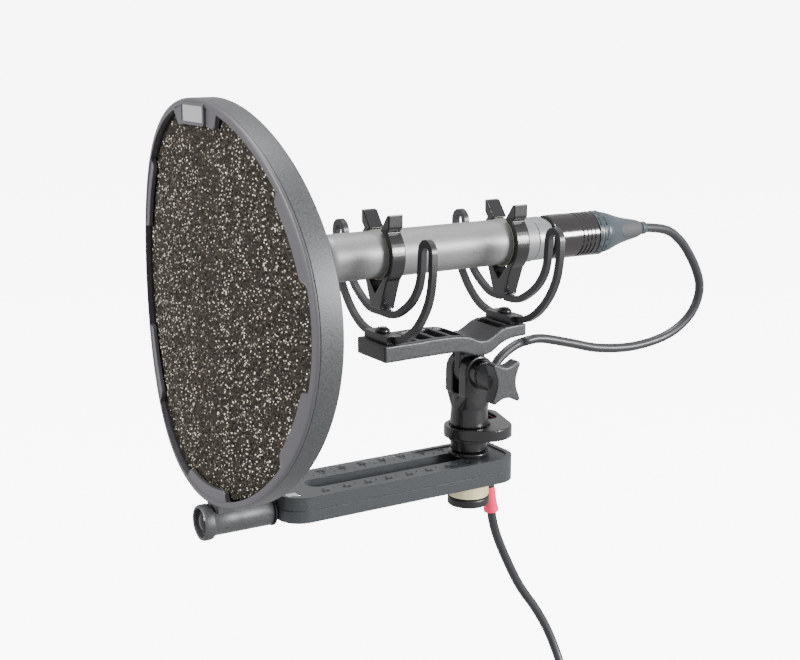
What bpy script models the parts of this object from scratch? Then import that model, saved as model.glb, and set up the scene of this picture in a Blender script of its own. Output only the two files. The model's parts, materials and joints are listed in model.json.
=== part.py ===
"""Pop filter on its sliding arm, with the swivel, lyre cradle, small condenser microphone and lead it serves.

Metres, +Z up. The stand axis is Z and the stand meets the lock ring at the origin. The filter faces -Y,
the arm and the microphone lie along Y, and the tilt knob is on +X. Run with
blender --background --python part.py, or from the Text Editor.
"""

import math

import bmesh
import bpy
from mathutils import Matrix, Vector

GAP = 0.0003  # clearance between pieces that touch or nest
SHAFT_GAP = 0.0003  # radial clearance of a turning fit

# Stand coupling
COUPLING_R = 0.0090
LOCK_RING_R = 0.0094
LOCK_RING_H = 0.0039
SPIGOT_R = 0.0070
SOCKET_R = 0.0047
SOCKET_DEPTH = 0.0072
STUD_R = 0.00475
ADAPTOR_H = 0.0120
STUD_SOCKET_DEPTH = 0.0030

# Sliding arm
ARM_FRONT_Y = -0.0980
ARM_REAR_Y = 0.0170
ARM_WIDTH = 0.0320
ARM_THICK = 0.0112
ARM_CORNER_R = 0.0100
ARM_LOWER_SHARE_H = 0.0056
ARM_WALL = 0.0020
SLOT_FRONT_Y = -0.0820
ARM_SCREW_R = 0.0010
ARM_SCREW_HEAD_R = 0.0019
ARM_BADGE_LENGTH = 0.0058
ARM_BADGE_WIDTH = 0.0050
ARM_BADGE_DEPTH = 0.0008

# Slot guide and slide washer
GUIDE_WALL_GAP = 0.00015
GUIDE_SIDE_WALL = 0.00020
GUIDE_BORE_GAP = 0.00010
GUIDE_HALF_LENGTH = 0.0062
GUIDE_CORNER_R = 0.0012
WASHER_R = 0.0093
WASHER_H = 0.0013

# Swivel base, clip and fork
BASE_R = 0.0083
BASE_H = 0.0042
BASE_STEP_R = 0.0090
BASE_STEP_H = 0.0018
NECK_R = 0.0086
PIVOT_R = 0.0040
PIVOT_H = 0.0052
CLIP_H = 0.0051
CLIP_LOBES = ((0.0, 0.0, 0.0113), (0.0030, 0.0060, 0.0125), (-0.0120, 0.0150, 0.0080))
CLIP_SLOT_ENDS = ((-0.0123, 0.0153), (-0.0055, 0.0142))
CLIP_SLOT_R = 0.0038
LINER_T = 0.0008
BARREL_TOP_R = 0.0074
FORK_HALF_WIDTH = 0.0081
CHEEK_R = 0.0075
TILT_ABOVE_BARREL = 0.0254
FORK_SLOT_WIDTH = 0.0052
FORK_SLOT_DEPTH = 0.0114
TILT_BORE_R = 0.0028
BOSS_R = 0.0063
BOSS_LENGTH = 0.0053
TILT_NUT_R = 0.0052
TILT_NUT_H = 0.0026

# Tilt knob
KNOB_HUB_R = 0.0061
KNOB_HUB_LENGTH = 0.0083
KNOB_PLATE_T = 0.0063
KNOB_HALF_Y = 0.0074
KNOB_HALF_Z = 0.0093
KNOB_SCALLOP = 0.0026

# Cradle bar, height above the tilt axis
BAR_WIDTH = 0.0237
TONGUE_WIDTH = 0.0046
TONGUE_R = 0.0070
BAR_TOP = ((-0.0503, 0.0185), (-0.0340, 0.0187), (-0.0180, 0.0189), (-0.0085, 0.0180), (-0.0035, 0.0158),
           (0.0010, 0.0153), (0.0050, 0.0172), (0.0095, 0.0196), (0.0150, 0.0202), (0.0219, 0.0203))
BAR_BOTTOM = ((0.0219, 0.0151), (0.0140, 0.0146), (0.0085, 0.0128), (0.0040, 0.0098), (-0.0015, 0.0086),
              (-0.0070, 0.0096), (-0.0120, 0.0114), (-0.0200, 0.0118), (-0.0503, 0.0114))
BAR_RAIL_W = 0.0034
BAR_WINDOWS = ((-0.0390, -0.0330), (-0.0310, -0.0250), (-0.0230, -0.0170), (-0.0150, -0.0090), (0.0095, 0.0138))

# Microphone and connector
MIC_ABOVE_TILT = 0.0555
MIC_R = 0.0100
MIC_FRONT_Y = -0.0740
CAPSULE_LENGTH = 0.0150
MIC_REAR_Y = 0.0300
MIC_BAND_LENGTH = 0.0060
MIC_BAND_R = 0.0097
CONNECTOR_Y = 0.0395
CONNECTOR_R = 0.0100
SHELL_LENGTH = 0.0240
NUT_LENGTH = 0.0056
BOOT_LENGTH = 0.0255
BOOT_END_R = 0.0053
BOOT_TIP_R = 0.0030
BOOT_TIP_LENGTH = 0.0030
LATCH_WIDTH = 0.0056
LATCH_LENGTH = 0.0090
LATCH_TRAVEL = 0.0008

# Lyres and clips
LYRE_YS = {"front": -0.0447, "rear": 0.0182}
LYRE_BASE_ABOVE_BAR = 0.0018
LYRE_ROD = 0.0029
LYRE_DEPTH = 0.0026
LYRE_HALF_SPAN = 0.0353
HAIRPIN_R = 0.0039
HAIRPIN_ABOVE_MIC = 0.0052
INNER_BASE_BELOW_MIC = 0.0246
CLIP_DEPTH = 0.0068
MIC_LINER_T = 0.0005
CLIP_WALL = 0.0026
CLIP_MOUTH_DEG = 24.0
EAR_H = 0.0176
CLIP_FOOT_HALF = 0.0046
SCREW_HEAD_R = 0.0034
SCREW_HEAD_H = 0.0019
SCREW_SHANK_R = 0.0014
RIVET_R = 0.0012
RIVET_H = 0.0011

# Filter frame
FRAME_R = 0.0798
FRAME_FRONT_Y = -0.1274
FRAME_DEPTH = 0.0113
FRAME_CENTRE_ABOVE_ARM = 0.0805
FRAME_BOW = 1.47  # sideways curvature: y grows by FRAME_BOW * x * x
FRAME_STRIPS = 7
BEZEL_T = 0.0022
BEZEL_WIDTH = 0.0034
TABS = ((90.0, 14.6, 0.0059), (27.5, 12.8, 0.0038), (-27.5, 12.8, 0.0038), (-90.0, 14.2, 0.0038),
        (-150.5, 12.8, 0.0038), (150.5, 12.8, 0.0038))
TAB_FLANK_DEG = 2.0
HOOP_WALL = 0.0021
REAR_RING_T = 0.0018
REAR_RING_WIDTH = 0.0050
FRAME_BADGE_WIDTH = 0.0180
FRAME_BADGE_H = 0.0060
FRAME_BADGE_T = 0.0009

# Filter hinge
HINGE_BELOW_ARM_TOP = 0.0081
SLEEVE_FRONT_Y = -0.1303
SLEEVE_REAR_Y = -0.0996
SLEEVE_FRONT_R = 0.0073
SLEEVE_REAR_R = 0.0064
COLLAR_R = 0.0080
COLLAR_LENGTH = 0.0042
HINGE_BORE_R = 0.0024
HINGE_SHANK_R = 0.0020
HINGE_HEAD_R = 0.0042
HINGE_HEAD_H = 0.0020
HINGE_WASHER_R = 0.0057
HINGE_WASHER_H = 0.0012
HINGE_RECESS_R = 0.0063
HINGE_RECESS_DEPTH = 0.0042
HINGE_SPACER_H = 0.0010
HINGE_SHANK_END_Y = -0.0880

# Lead
CABLE_R = 0.0022
RED_BOOT_TOP_R = 0.0029
RED_BOOT_END_R = 0.0032
RED_BOOT_FLANGE_R = 0.0036
RED_BOOT_GAP = 0.00025
FLOOR_Z = -0.1198
COIL_CENTRE = (0.0050, 0.0090)
COIL_MEAN_R = 0.0248
COIL_HALF_WIDTH = 0.0092
COIL_H = 0.0184
TIE_WIDTH = 0.0060
TIE_GAP = 0.0007
TIE_T = 0.0012
PLUG_R = 0.0094
PLUG_SHELL_LENGTH = 0.0430
PLUG_BOOT_LENGTH = 0.0200
PLUG_CABLE_END = (0.0472, -0.0053)
PLUG_HEADING_DEG = 5.0

# The lead's route: from the microphone's plug round behind it, beside the cradle, and down to the clip.
HEAD_ROUTE = ((-0.0004, 0.1050, 0.1170), (-0.0011, 0.1120, 0.1153), (-0.0020, 0.1198, 0.1115),
              (-0.0029, 0.1275, 0.1048), (-0.0042, 0.1363, 0.0930), (-0.0055, 0.1402, 0.0822),
              (-0.0070, 0.1362, 0.0703), (-0.0086, 0.1237, 0.0615), (-0.0102, 0.1041, 0.0577),
              (-0.0116, 0.0834, 0.0589), (-0.0130, 0.0662, 0.0632), (-0.0142, 0.0493, 0.0672),
              (-0.0149, 0.0390, 0.0664))
NECK_ROUTE = ((-0.0150, 0.0363, 0.0657), (-0.0150, 0.0300, 0.0626), (-0.0148, 0.0250, 0.0585),
              (-0.0140, 0.0212, 0.0525), (-0.0127, 0.0180, 0.0460), (-0.0118, 0.0162, 0.0410),
              (-0.0115, 0.0156, 0.0383))
TAIL_ROUTE = ((-0.0115, 0.0154, 0.0373), (-0.0115, 0.0153, 0.0345), (-0.0119, 0.0155, 0.0315),
              (-0.0140, 0.0165, 0.0290), (-0.0172, 0.0185, 0.0263), (-0.0197, 0.0204, 0.0225),
              (-0.0208, 0.0218, 0.0165), (-0.0213, 0.0236, 0.0085), (-0.0216, 0.0250, 0.0030),
              (-0.0217, 0.0265, -0.0034))
FALL_ROUTE = ((-0.0220, 0.0284, -0.0159), (-0.0220, 0.0292, -0.0205), (-0.0220, 0.0318, -0.0292),
              (-0.0220, 0.0359, -0.0386), (-0.0220, 0.0407, -0.0485), (-0.0219, 0.0470, -0.0598),
              (-0.0215, 0.0546, -0.0705), (-0.0198, 0.0615, -0.0830), (-0.0162, 0.0655, -0.0960),
              (-0.0100, 0.0660, -0.1070), (-0.0005, 0.0630, -0.1142), (0.0110, 0.0555, -0.1172),
              (0.0215, 0.0445, -0.1174), (0.0306, 0.0352, -0.1174))
END_ROUTE = ((0.0397, 0.0217, -0.1101), (0.0430, 0.0135, -0.1101), (0.0458, 0.0045, -0.1101),
             (0.0469, -0.0050, -0.1101))


# Sizes and heights that follow from the sizes above
BARREL_R = NECK_R
SLOT_WIDTH = 2 * (STUD_R + GUIDE_BORE_GAP + GUIDE_SIDE_WALL + GUIDE_WALL_GAP)
SLOT_END_R = SLOT_WIDTH / 2
CORNER_CUT = GUIDE_CORNER_R * (1 - math.sqrt(0.5))
CORNER_REACH = math.sqrt((SLOT_END_R - GAP) ** 2 - (SLOT_END_R - GUIDE_WALL_GAP - CORNER_CUT) ** 2)
SLOT_REAR_Y = GUIDE_HALF_LENGTH - CORNER_CUT - CORNER_REACH + SLOT_END_R  # where the guide's corners stop
ARM_BOTTOM = ADAPTOR_H + GAP
ARM_TOP = ARM_BOTTOM + ARM_THICK
ARM_SPLIT = ARM_BOTTOM + ARM_LOWER_SHARE_H
WASHER_TOP = ARM_TOP + GAP + WASHER_H
BASE_BOTTOM = WASHER_TOP + GAP
CLIP_BOTTOM = BASE_BOTTOM + BASE_H + BASE_STEP_H + GAP
CLIP_TOP = CLIP_BOTTOM + CLIP_H
BARREL_BOTTOM = CLIP_TOP - GAP
TILT_Z = BARREL_BOTTOM + TILT_ABOVE_BARREL
MIC_Z = TILT_Z + MIC_ABOVE_TILT
HINGE_Z = ARM_TOP - HINGE_BELOW_ARM_TOP
FRAME_Z = ARM_TOP + FRAME_CENTRE_ABOVE_ARM
BOSS_END_X = FORK_HALF_WIDTH + BOSS_LENGTH
KNOB_X = BOSS_END_X + GAP
ARM_MIDDLE_Y = (ARM_FRONT_Y + ARM_REAR_Y) / 2

PARTS = "pop_filter_assembly"
CUTTERS = "cutters"


def collection(name):
    found = bpy.data.collections.get(name)
    if found is None:
        found = bpy.data.collections.new(name)
        bpy.context.scene.collection.children.link(found)
    return found


def material(name, colour, roughness, metallic=0.0):
    made = bpy.data.materials.get(name) or bpy.data.materials.new(name)
    made.use_nodes = True
    shader = made.node_tree.nodes["Principled BSDF"]
    shader.inputs["Base Color"].default_value = (*colour, 1.0)
    shader.inputs["Roughness"].default_value = roughness
    shader.inputs["Metallic"].default_value = metallic
    return made


FINISHES = {
    "frame_grey": ((0.13, 0.13, 0.14), 0.45, 0.0),
    "arm_black": ((0.045, 0.048, 0.052), 0.5, 0.0),
    "swivel_black": ((0.035, 0.035, 0.037), 0.35, 0.0),
    "lyre_black": ((0.07, 0.07, 0.08), 0.45, 0.0),
    "foam_brown": ((0.10, 0.09, 0.07), 0.9, 0.0),
    "brass": ((0.83, 0.68, 0.42), 0.35, 1.0),
    "bright_metal": ((0.75, 0.75, 0.76), 0.25, 1.0),
    "mic_grey": ((0.36, 0.37, 0.36), 0.55, 0.3),
    "connector_black": ((0.05, 0.045, 0.045), 0.18, 0.9),
    "boot_grey": ((0.22, 0.25, 0.28), 0.5, 0.0),
    "cable_grey": ((0.11, 0.11, 0.12), 0.5, 0.0),
    "boot_red": ((0.72, 0.08, 0.12), 0.45, 0.0),
    "liner_red": ((0.30, 0.03, 0.05), 0.6, 0.0),
    "liner_pale": ((0.62, 0.60, 0.52), 0.8, 0.0),
}


def place(name, mesh_or_curve, finish, where=PARTS):
    """An object in the parts collection, or a hidden helper among the cutters."""
    obj = bpy.data.objects.new(name, mesh_or_curve)
    collection(where).objects.link(obj)
    if finish:
        mesh_or_curve.materials.append(material(finish, *FINISHES[finish]))
    if where == CUTTERS:
        obj.hide_render = True
        obj.display_type = "WIRE"
    return obj


def smooth(obj, degrees=38):
    obj.data.shade_smooth()
    obj.data.set_sharp_from_angle(angle=math.radians(degrees))
    return obj


def screw_profile(name, profile, finish, steps, closed, where):
    mesh = bpy.data.meshes.new(name)
    edges = [(i, i + 1) for i in range(len(profile) - 1)]
    if closed:
        edges.append((len(profile) - 1, 0))
    mesh.from_pydata([(r, 0.0, z) for r, z in profile], edges, [])
    obj = place(name, mesh, finish, where)
    screw = obj.modifiers.new("turn", "SCREW")
    screw.steps = screw.render_steps = steps
    screw.use_merge_vertices = True
    screw.merge_threshold = 0.00001
    screw.use_smooth_shade = True
    return obj


def turned(name, profile, finish, steps=28, closed=False, matrix=None, where=PARTS):
    """A turned shape: the profile (radius, height) runs down its outer side, and then back up the bore."""
    obj = screw_profile(name, profile, finish, steps, closed, where)
    if matrix is not None:
        obj.matrix_world = matrix
    return obj


def along_y(y=0.0, z=0.0, x=0.0):
    """Puts a turned shape's axis along +Y: its height 0 is at y."""
    return Matrix.Translation((x, y, z)) @ Matrix.Rotation(math.radians(-90), 4, "X")


def along_x(x=0.0, z=0.0, y=0.0):
    return Matrix.Translation((x, y, z)) @ Matrix.Rotation(math.radians(90), 4, "Y")


def baked(obj):
    """Replaces an object by its evaluated mesh in world space, so that it can be cut, joined or bowed."""
    bpy.context.view_layer.update()
    graph = bpy.context.evaluated_depsgraph_get()
    mesh = bpy.data.meshes.new_from_object(obj.evaluated_get(graph))
    mesh.transform(obj.matrix_world)
    shape = bmesh.new()
    shape.from_mesh(mesh)
    bmesh.ops.remove_doubles(shape, verts=shape.verts, dist=0.000001)
    shape.to_mesh(mesh)
    shape.free()
    name, owner = obj.name, obj.users_collection[0]
    hidden, display = obj.hide_render, obj.display_type
    bpy.data.objects.remove(obj)
    fresh = bpy.data.objects.new(name, mesh)
    owner.objects.link(fresh)
    fresh.name = name
    fresh.hide_render, fresh.display_type = hidden, display
    return fresh


def extruded(name, outlines, depth, finish, where=PARTS, plane="XY"):
    """A flat outline, with any holes, made into a mesh plate of this thickness centred on its plane."""
    curve = bpy.data.curves.new(name, "CURVE")
    curve.dimensions = "2D"
    curve.fill_mode = "BOTH"
    curve.extrude = depth / 2
    for outline in outlines:
        spline = curve.splines.new("POLY")
        spline.points.add(len(outline) - 1)
        for point, (u, v) in zip(spline.points, outline):
            point.co = (u, v, 0.0, 1.0)
        spline.use_cyclic_u = True
    obj = place(name, curve, finish, where)
    if plane == "XZ":
        obj.matrix_world = Matrix.Rotation(math.radians(90), 4, "X")
    elif plane == "YZ":
        obj.matrix_world = Matrix(((0, 0, 1, 0), (1, 0, 0, 0), (0, 1, 0, 0), (0, 0, 0, 1)))
    return baked(obj)


def shifted(obj, x=0.0, y=0.0, z=0.0):
    obj.data.transform(Matrix.Translation((x, y, z)))
    return obj


def box(name, low, high, finish=None, where=CUTTERS):
    mesh = bpy.data.meshes.new(name)
    shape = bmesh.new()
    size = [b - a for a, b in zip(low, high)]
    middle = [(a + b) / 2 for a, b in zip(low, high)]
    scale = Matrix.Diagonal((*size, 1.0))
    bmesh.ops.create_cube(shape, size=1.0, matrix=Matrix.Translation(middle) @ scale)
    shape.to_mesh(mesh)
    shape.free()
    return place(name, mesh, finish, where)


def boolean(obj, other, operation="DIFFERENCE"):
    step = obj.modifiers.new(other.name, "BOOLEAN")
    step.operation = operation
    step.object = other
    return obj


def rounded(obj, width, segments=1, degrees=50):
    step = obj.modifiers.new("edges", "BEVEL")
    step.width = width
    step.segments = segments
    step.limit_method = "ANGLE"
    step.angle_limit = math.radians(degrees)
    return obj


def arc(cx, cy, radius, from_deg, to_deg, count):
    turns = [math.radians(from_deg + (to_deg - from_deg) * i / (count - 1)) for i in range(count)]
    return [(cx + radius * math.cos(t), cy + radius * math.sin(t)) for t in turns]


def circle(cx, cy, radius, count=40):
    return arc(cx, cy, radius, 0.0, 360.0 * (count - 1) / count, count)


def rounded_rectangle(x0, y0, x1, y1, radius, count=7):
    corners = ((x1 - radius, y1 - radius, 0), (x0 + radius, y1 - radius, 90),
               (x0 + radius, y0 + radius, 180), (x1 - radius, y0 + radius, 270))
    outline = []
    for cx, cy, start in corners:
        outline += arc(cx, cy, radius, start, start + 90, count)
    return outline


def smooth_route(points, spacing):
    """Evenly spaced points on a smooth curve through the route's own points."""
    knots = [Vector(p) for p in points]
    knots = [2 * knots[0] - knots[1]] + knots + [2 * knots[-1] - knots[-2]]
    fine = []
    for a, b, c, d in zip(knots, knots[1:], knots[2:], knots[3:]):
        for i in range(24):
            t = i / 24
            fine.append(0.5 * (2 * b + (c - a) * t + (2 * a - 5 * b + 4 * c - d) * t * t
                               + (3 * b - 3 * c + d - a) * t ** 3))
    fine.append(knots[-2])
    lengths = [0.0]
    for p, q in zip(fine, fine[1:]):
        lengths.append(lengths[-1] + (q - p).length)
    count = max(2, round(lengths[-1] / spacing))
    even, at = [], 0
    for i in range(count + 1):
        want = lengths[-1] * i / count
        while at < len(lengths) - 2 and lengths[at + 1] < want:
            at += 1
        share = (want - lengths[at]) / (lengths[at + 1] - lengths[at])
        even.append(fine[at].lerp(fine[at + 1], share))
    return even


def tube(name, points, radius, finish, resolution=2):
    curve = bpy.data.curves.new(name, "CURVE")
    curve.dimensions = "3D"
    curve.bevel_depth = radius
    curve.bevel_resolution = resolution
    curve.use_fill_caps = True
    spline = curve.splines.new("POLY")
    spline.points.add(len(points) - 1)
    for point, place_at in zip(spline.points, points):
        point.co = (*place_at, 1.0)
    return place(name, curve, finish)


def clear_scene():
    for obj in list(bpy.data.objects):
        bpy.data.objects.remove(obj)


def stand_coupling():
    """Threaded adaptor with its lock ring, and the stud that clamps the arm under the swivel."""
    web_low = SOCKET_DEPTH
    web_high = ADAPTOR_H - STUD_SOCKET_DEPTH
    stud_bore = STUD_R + SHAFT_GAP
    shoulder = LOCK_RING_H + GAP
    turned("thread_adaptor", [(0, web_high), (stud_bore, web_high), (stud_bore, ADAPTOR_H),
                              (COUPLING_R - 0.0004, ADAPTOR_H), (COUPLING_R, ADAPTOR_H - 0.0004),
                              (COUPLING_R, shoulder), (SPIGOT_R, shoulder), (SPIGOT_R, 0.0004),
                              (SOCKET_R, 0.0004), (SOCKET_R, web_low), (0, web_low)], "brass")
    bore = SPIGOT_R + SHAFT_GAP
    ring = turned("lock_ring", [(bore, LOCK_RING_H), (LOCK_RING_R - 0.0005, LOCK_RING_H),
                                (LOCK_RING_R, LOCK_RING_H - 0.0005), (LOCK_RING_R, 0.0005),
                                (LOCK_RING_R - 0.0005, 0), (bore, 0)], "swivel_black", closed=True)
    hole = turned("lock_ring_hole", [(0, 0.002), (0.0007, 0.002), (0.0007, -0.0012), (0, -0.0012)], None,
                  steps=12, where=CUTTERS,
                  matrix=Matrix.Rotation(math.radians(66), 4, "Z") @ along_x(LOCK_RING_R, LOCK_RING_H / 2))
    boolean(ring, hole)
    stud_top = BASE_BOTTOM + BASE_H
    turned("clamp_stud", [(0, stud_top), (STUD_R - 0.0005, stud_top), (STUD_R, stud_top - 0.0005),
                          (STUD_R, web_high + GAP), (0, web_high + GAP)], "brass", steps=28)


def arm_outline(inset=0.0):
    half = ARM_WIDTH / 2 - inset
    return rounded_rectangle(-half, ARM_FRONT_Y + inset, half, ARM_REAR_Y - inset, ARM_CORNER_R - inset)


def slot_outline(grow=0.0):
    half = SLOT_WIDTH / 2 + grow
    return rounded_rectangle(-half, SLOT_FRONT_Y - grow, half, SLOT_REAR_Y + grow, half * 0.999, 6)


def arm_shell(name, low, high):
    plate = extruded(name, [arm_outline(), slot_outline()], high - low, "arm_black")
    return shifted(plate, z=(low + high) / 2)


def arm_screw_places():
    x = (SLOT_WIDTH / 2 + ARM_WIDTH / 2) / 2
    return [(side * x, y) for y in (SLOT_FRONT_Y + 0.004, SLOT_REAR_Y - 0.012) for side in (-1, 1)]


def arm():
    upper = arm_shell("arm_upper_shell", ARM_SPLIT + GAP / 2, ARM_TOP)
    lower = arm_shell("arm_lower_shell", ARM_BOTTOM, ARM_SPLIT - GAP / 2)
    panel = extruded("arm_panel_recess", [arm_outline(0.0026)], 0.0010, None, CUTTERS)
    boolean(upper, shifted(panel, z=ARM_TOP))
    badge_x, badge_y = 0.0085, ARM_FRONT_Y + 0.0052
    low = (badge_x - ARM_BADGE_WIDTH / 2, badge_y - ARM_BADGE_LENGTH / 2, ARM_TOP - 0.0005 - ARM_BADGE_DEPTH)
    high = (badge_x + ARM_BADGE_WIDTH / 2, badge_y + ARM_BADGE_LENGTH / 2, ARM_TOP)
    boolean(upper, box("arm_badge_recess", low, high))
    low = [a + GAP for a in low]
    high = [high[0] - GAP, high[1] - GAP, ARM_TOP - 0.0005]
    box("arm_badge", low, high, "bright_metal", PARTS)
    bore = turned("arm_hinge_bore", [(0, 0.02), (HINGE_SHANK_R + GAP, 0.02), (HINGE_SHANK_R + GAP, -0.004),
                                     (0, -0.004)], None, steps=20, where=CUTTERS,
                  matrix=along_y(HINGE_SHANK_END_Y - 0.0195, HINGE_Z))
    boolean(lower, bore)
    boolean(upper, bore)
    for number, (x, y) in enumerate(arm_screw_places(), 1):
        head_top = ARM_BOTTOM + 0.0003
        seat = head_top + 0.0012
        tip = ARM_TOP - 0.0035
        hole = turned(f"arm_screw_hole_{number}",
                      [(0, tip + GAP), (ARM_SCREW_R + GAP, tip + GAP), (ARM_SCREW_R + GAP, seat + GAP),
                       (ARM_SCREW_HEAD_R + GAP, seat + GAP), (ARM_SCREW_HEAD_R + GAP, ARM_BOTTOM - 0.001),
                       (0, ARM_BOTTOM - 0.001)], None, steps=14, where=CUTTERS,
                      matrix=Matrix.Translation((x, y, 0)))
        boolean(lower, hole)
        boolean(upper, hole)
        turned(f"arm_screw_{number}",
               [(0, tip), (ARM_SCREW_R, tip), (ARM_SCREW_R, seat), (ARM_SCREW_HEAD_R, seat),
                (ARM_SCREW_HEAD_R, head_top), (0, head_top)], "bright_metal", steps=14,
               matrix=Matrix.Translation((x, y, 0)))
    rounded(upper, 0.0011)
    rounded(lower, 0.0013)
    for shell in (upper, lower):
        smooth(shell)


def slot_guide():
    """Bush that keys in the arm's slot and turns on the stud, and the washer over it."""
    half = SLOT_WIDTH / 2 - GUIDE_WALL_GAP
    bore = STUD_R + GUIDE_BORE_GAP
    outline = rounded_rectangle(-half, -GUIDE_HALF_LENGTH, half, GUIDE_HALF_LENGTH, GUIDE_CORNER_R, 3)
    low, high = ARM_BOTTOM + 0.001, ARM_TOP - 0.0006
    bush = extruded("slot_guide", [outline, circle(0, 0, bore, 28)], high - low, "swivel_black")
    shifted(bush, z=(low + high) / 2)
    turned("slide_washer", [(bore, WASHER_TOP), (WASHER_R - 0.0003, WASHER_TOP), (WASHER_R, WASHER_TOP - 0.0003),
                            (WASHER_R, ARM_TOP + GAP), (bore, ARM_TOP + GAP)], "swivel_black", closed=True)


def swivel_base():
    step_low = BASE_BOTTOM + BASE_H
    neck_top = BARREL_BOTTOM - GAP
    pivot_top = neck_top + PIVOT_H
    bore_top = step_low + GAP
    bore = STUD_R + SHAFT_GAP
    turned("swivel_base", [(0, pivot_top), (PIVOT_R, pivot_top), (PIVOT_R, neck_top), (NECK_R, neck_top),
                           (NECK_R, CLIP_BOTTOM - GAP), (BASE_STEP_R, CLIP_BOTTOM - GAP),
                           (BASE_STEP_R, step_low + 0.0003), (BASE_R, step_low), (BASE_R, BASE_BOTTOM + 0.0008),
                           (BASE_R - 0.0008, BASE_BOTTOM), (bore, BASE_BOTTOM), (bore, bore_top), (0, bore_top)],
           "swivel_black")


def clip_outline():
    """Convex outline round the neck and the lead's slot: a belt round three discs."""
    outline = []
    for i in range(44):
        t = 2 * math.pi * i / 44
        reach = [x * math.cos(t) + y * math.sin(t) + r for x, y, r in CLIP_LOBES]
        x, y, r = CLIP_LOBES[reach.index(max(reach))]
        outline.append((x + r * math.cos(t), y + r * math.sin(t)))
    return outline


def clip_slot(radius):
    """Straight slot with round ends."""
    (x0, y0), (x1, y1) = CLIP_SLOT_ENDS
    along = math.degrees(math.atan2(y1 - y0, x1 - x0))
    return arc(x0, y0, radius, along + 90, along + 270, 9) + arc(x1, y1, radius, along - 90, along + 90, 9)


def cable_clip():
    bore = NECK_R + SHAFT_GAP
    clip = extruded("cable_clip", [clip_outline(), circle(0, 0, bore, 40), clip_slot(CLIP_SLOT_R)], CLIP_H,
                    "swivel_black")
    shifted(clip, z=(CLIP_BOTTOM + CLIP_TOP) / 2)
    rounded(clip, 0.0009)
    smooth(clip)
    outer = CLIP_SLOT_R - GAP
    liner = extruded("clip_liner", [clip_slot(outer), clip_slot(outer - LINER_T)], CLIP_H - 0.0022, "liner_red")
    shifted(liner, z=(CLIP_BOTTOM + CLIP_TOP) / 2)


def fork():
    """Swivel barrel: a tapered barrel below, two round cheeks above, one boss for the knob."""
    bore = PIVOT_R + SHAFT_GAP
    bore_top = BARREL_BOTTOM + PIVOT_H + GAP
    shoulder = TILT_Z - 0.0085
    barrel = turned("swivel_barrel", [(0, shoulder + 0.003), (BARREL_TOP_R - 0.0006, shoulder + 0.003),
                                      (BARREL_TOP_R, shoulder), (BARREL_R, BARREL_BOTTOM + 0.0022),
                                      (BARREL_R, BARREL_BOTTOM + 0.0004), (BARREL_R - 0.0004, BARREL_BOTTOM),
                                      (bore, BARREL_BOTTOM), (bore, bore_top), (0, bore_top)], "swivel_black")
    cheek = [(-CHEEK_R, TILT_Z - 0.0100), (CHEEK_R, TILT_Z - 0.0100)] + arc(0, TILT_Z, CHEEK_R, 0, 180, 20)
    block = extruded("fork_cheeks", [cheek], 2 * FORK_HALF_WIDTH, None, CUTTERS, plane="YZ")
    boss = turned("fork_boss", [(0, BOSS_LENGTH + 0.002), (BOSS_R, BOSS_LENGTH + 0.002), (BOSS_R, 0), (0, 0)], None,
                  steps=32, where=CUTTERS, matrix=along_x(FORK_HALF_WIDTH - 0.002, TILT_Z))
    half = FORK_SLOT_WIDTH / 2
    slot = box("fork_slot", (-half, -0.02, TILT_Z - FORK_SLOT_DEPTH), (half, 0.02, TILT_Z + 0.02))
    bore_cut = turned("fork_bore", [(0, 0.05), (TILT_BORE_R, 0.05), (TILT_BORE_R, 0), (0, 0)], None, steps=24,
                      where=CUTTERS, matrix=along_x(-0.025, TILT_Z))
    boolean(barrel, block, "UNION")
    boolean(barrel, boss, "UNION")
    boolean(barrel, slot)
    boolean(barrel, bore_cut)
    nut = [(TILT_BORE_R - 0.0004, TILT_NUT_H), (TILT_NUT_R - 0.0008, TILT_NUT_H), (TILT_NUT_R, TILT_NUT_H - 0.0008),
           (TILT_NUT_R, 0), (TILT_BORE_R - 0.0004, 0)]
    turned("tilt_nut", nut, "swivel_black", steps=24, closed=True,
           matrix=along_x(-FORK_HALF_WIDTH - GAP, TILT_Z) @ Matrix.Rotation(math.radians(180), 4, "X"))


def knob_outline():
    """Four lobes with scalloped sides between them."""
    corners = [(KNOB_HALF_Y, KNOB_HALF_Z), (-KNOB_HALF_Y, KNOB_HALF_Z), (-KNOB_HALF_Y, -KNOB_HALF_Z),
               (KNOB_HALF_Y, -KNOB_HALF_Z)]
    outline = []
    for (y0, z0), (y1, z1) in zip(corners, corners[1:] + corners[:1]):
        side = Vector((y1 - y0, z1 - z0))
        inward = Vector((-side.y, side.x)).normalized()
        for i in range(1, 12):
            t = i / 12
            dip = KNOB_SCALLOP * math.sin(math.pi * t) ** 1.5
            outline.append((y0 + side.x * t + inward.x * dip, z0 + side.y * t + inward.y * dip))
    return outline


def knob():
    hub = turned("tilt_knob", [(0, KNOB_HUB_LENGTH + 0.001), (KNOB_HUB_R, KNOB_HUB_LENGTH + 0.001), (KNOB_HUB_R, 0),
                               (0, 0)], "swivel_black", steps=32, matrix=along_x(KNOB_X, TILT_Z))
    plate = extruded("knob_plate", [knob_outline()], KNOB_PLATE_T, None, CUTTERS, plane="YZ")
    shifted(plate, x=KNOB_X + KNOB_HUB_LENGTH + KNOB_PLATE_T / 2, z=TILT_Z)
    shank_hole = turned("knob_shank_hole", [(0, 0.006), (0.0023, 0.006), (0.0023, -0.002), (0, -0.002)], None,
                        steps=24, where=CUTTERS, matrix=along_x(KNOB_X, TILT_Z))
    boolean(hub, plate, "UNION")
    boolean(hub, shank_hole)
    start = -FORK_HALF_WIDTH - TILT_NUT_H - GAP - 0.0008
    turned("tilt_screw", [(0, KNOB_X + 0.0057 - start), (0.0020, KNOB_X + 0.0057 - start), (0.0020, 0), (0, 0)],
           "bright_metal", steps=20, matrix=along_x(start, TILT_Z))


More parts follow.
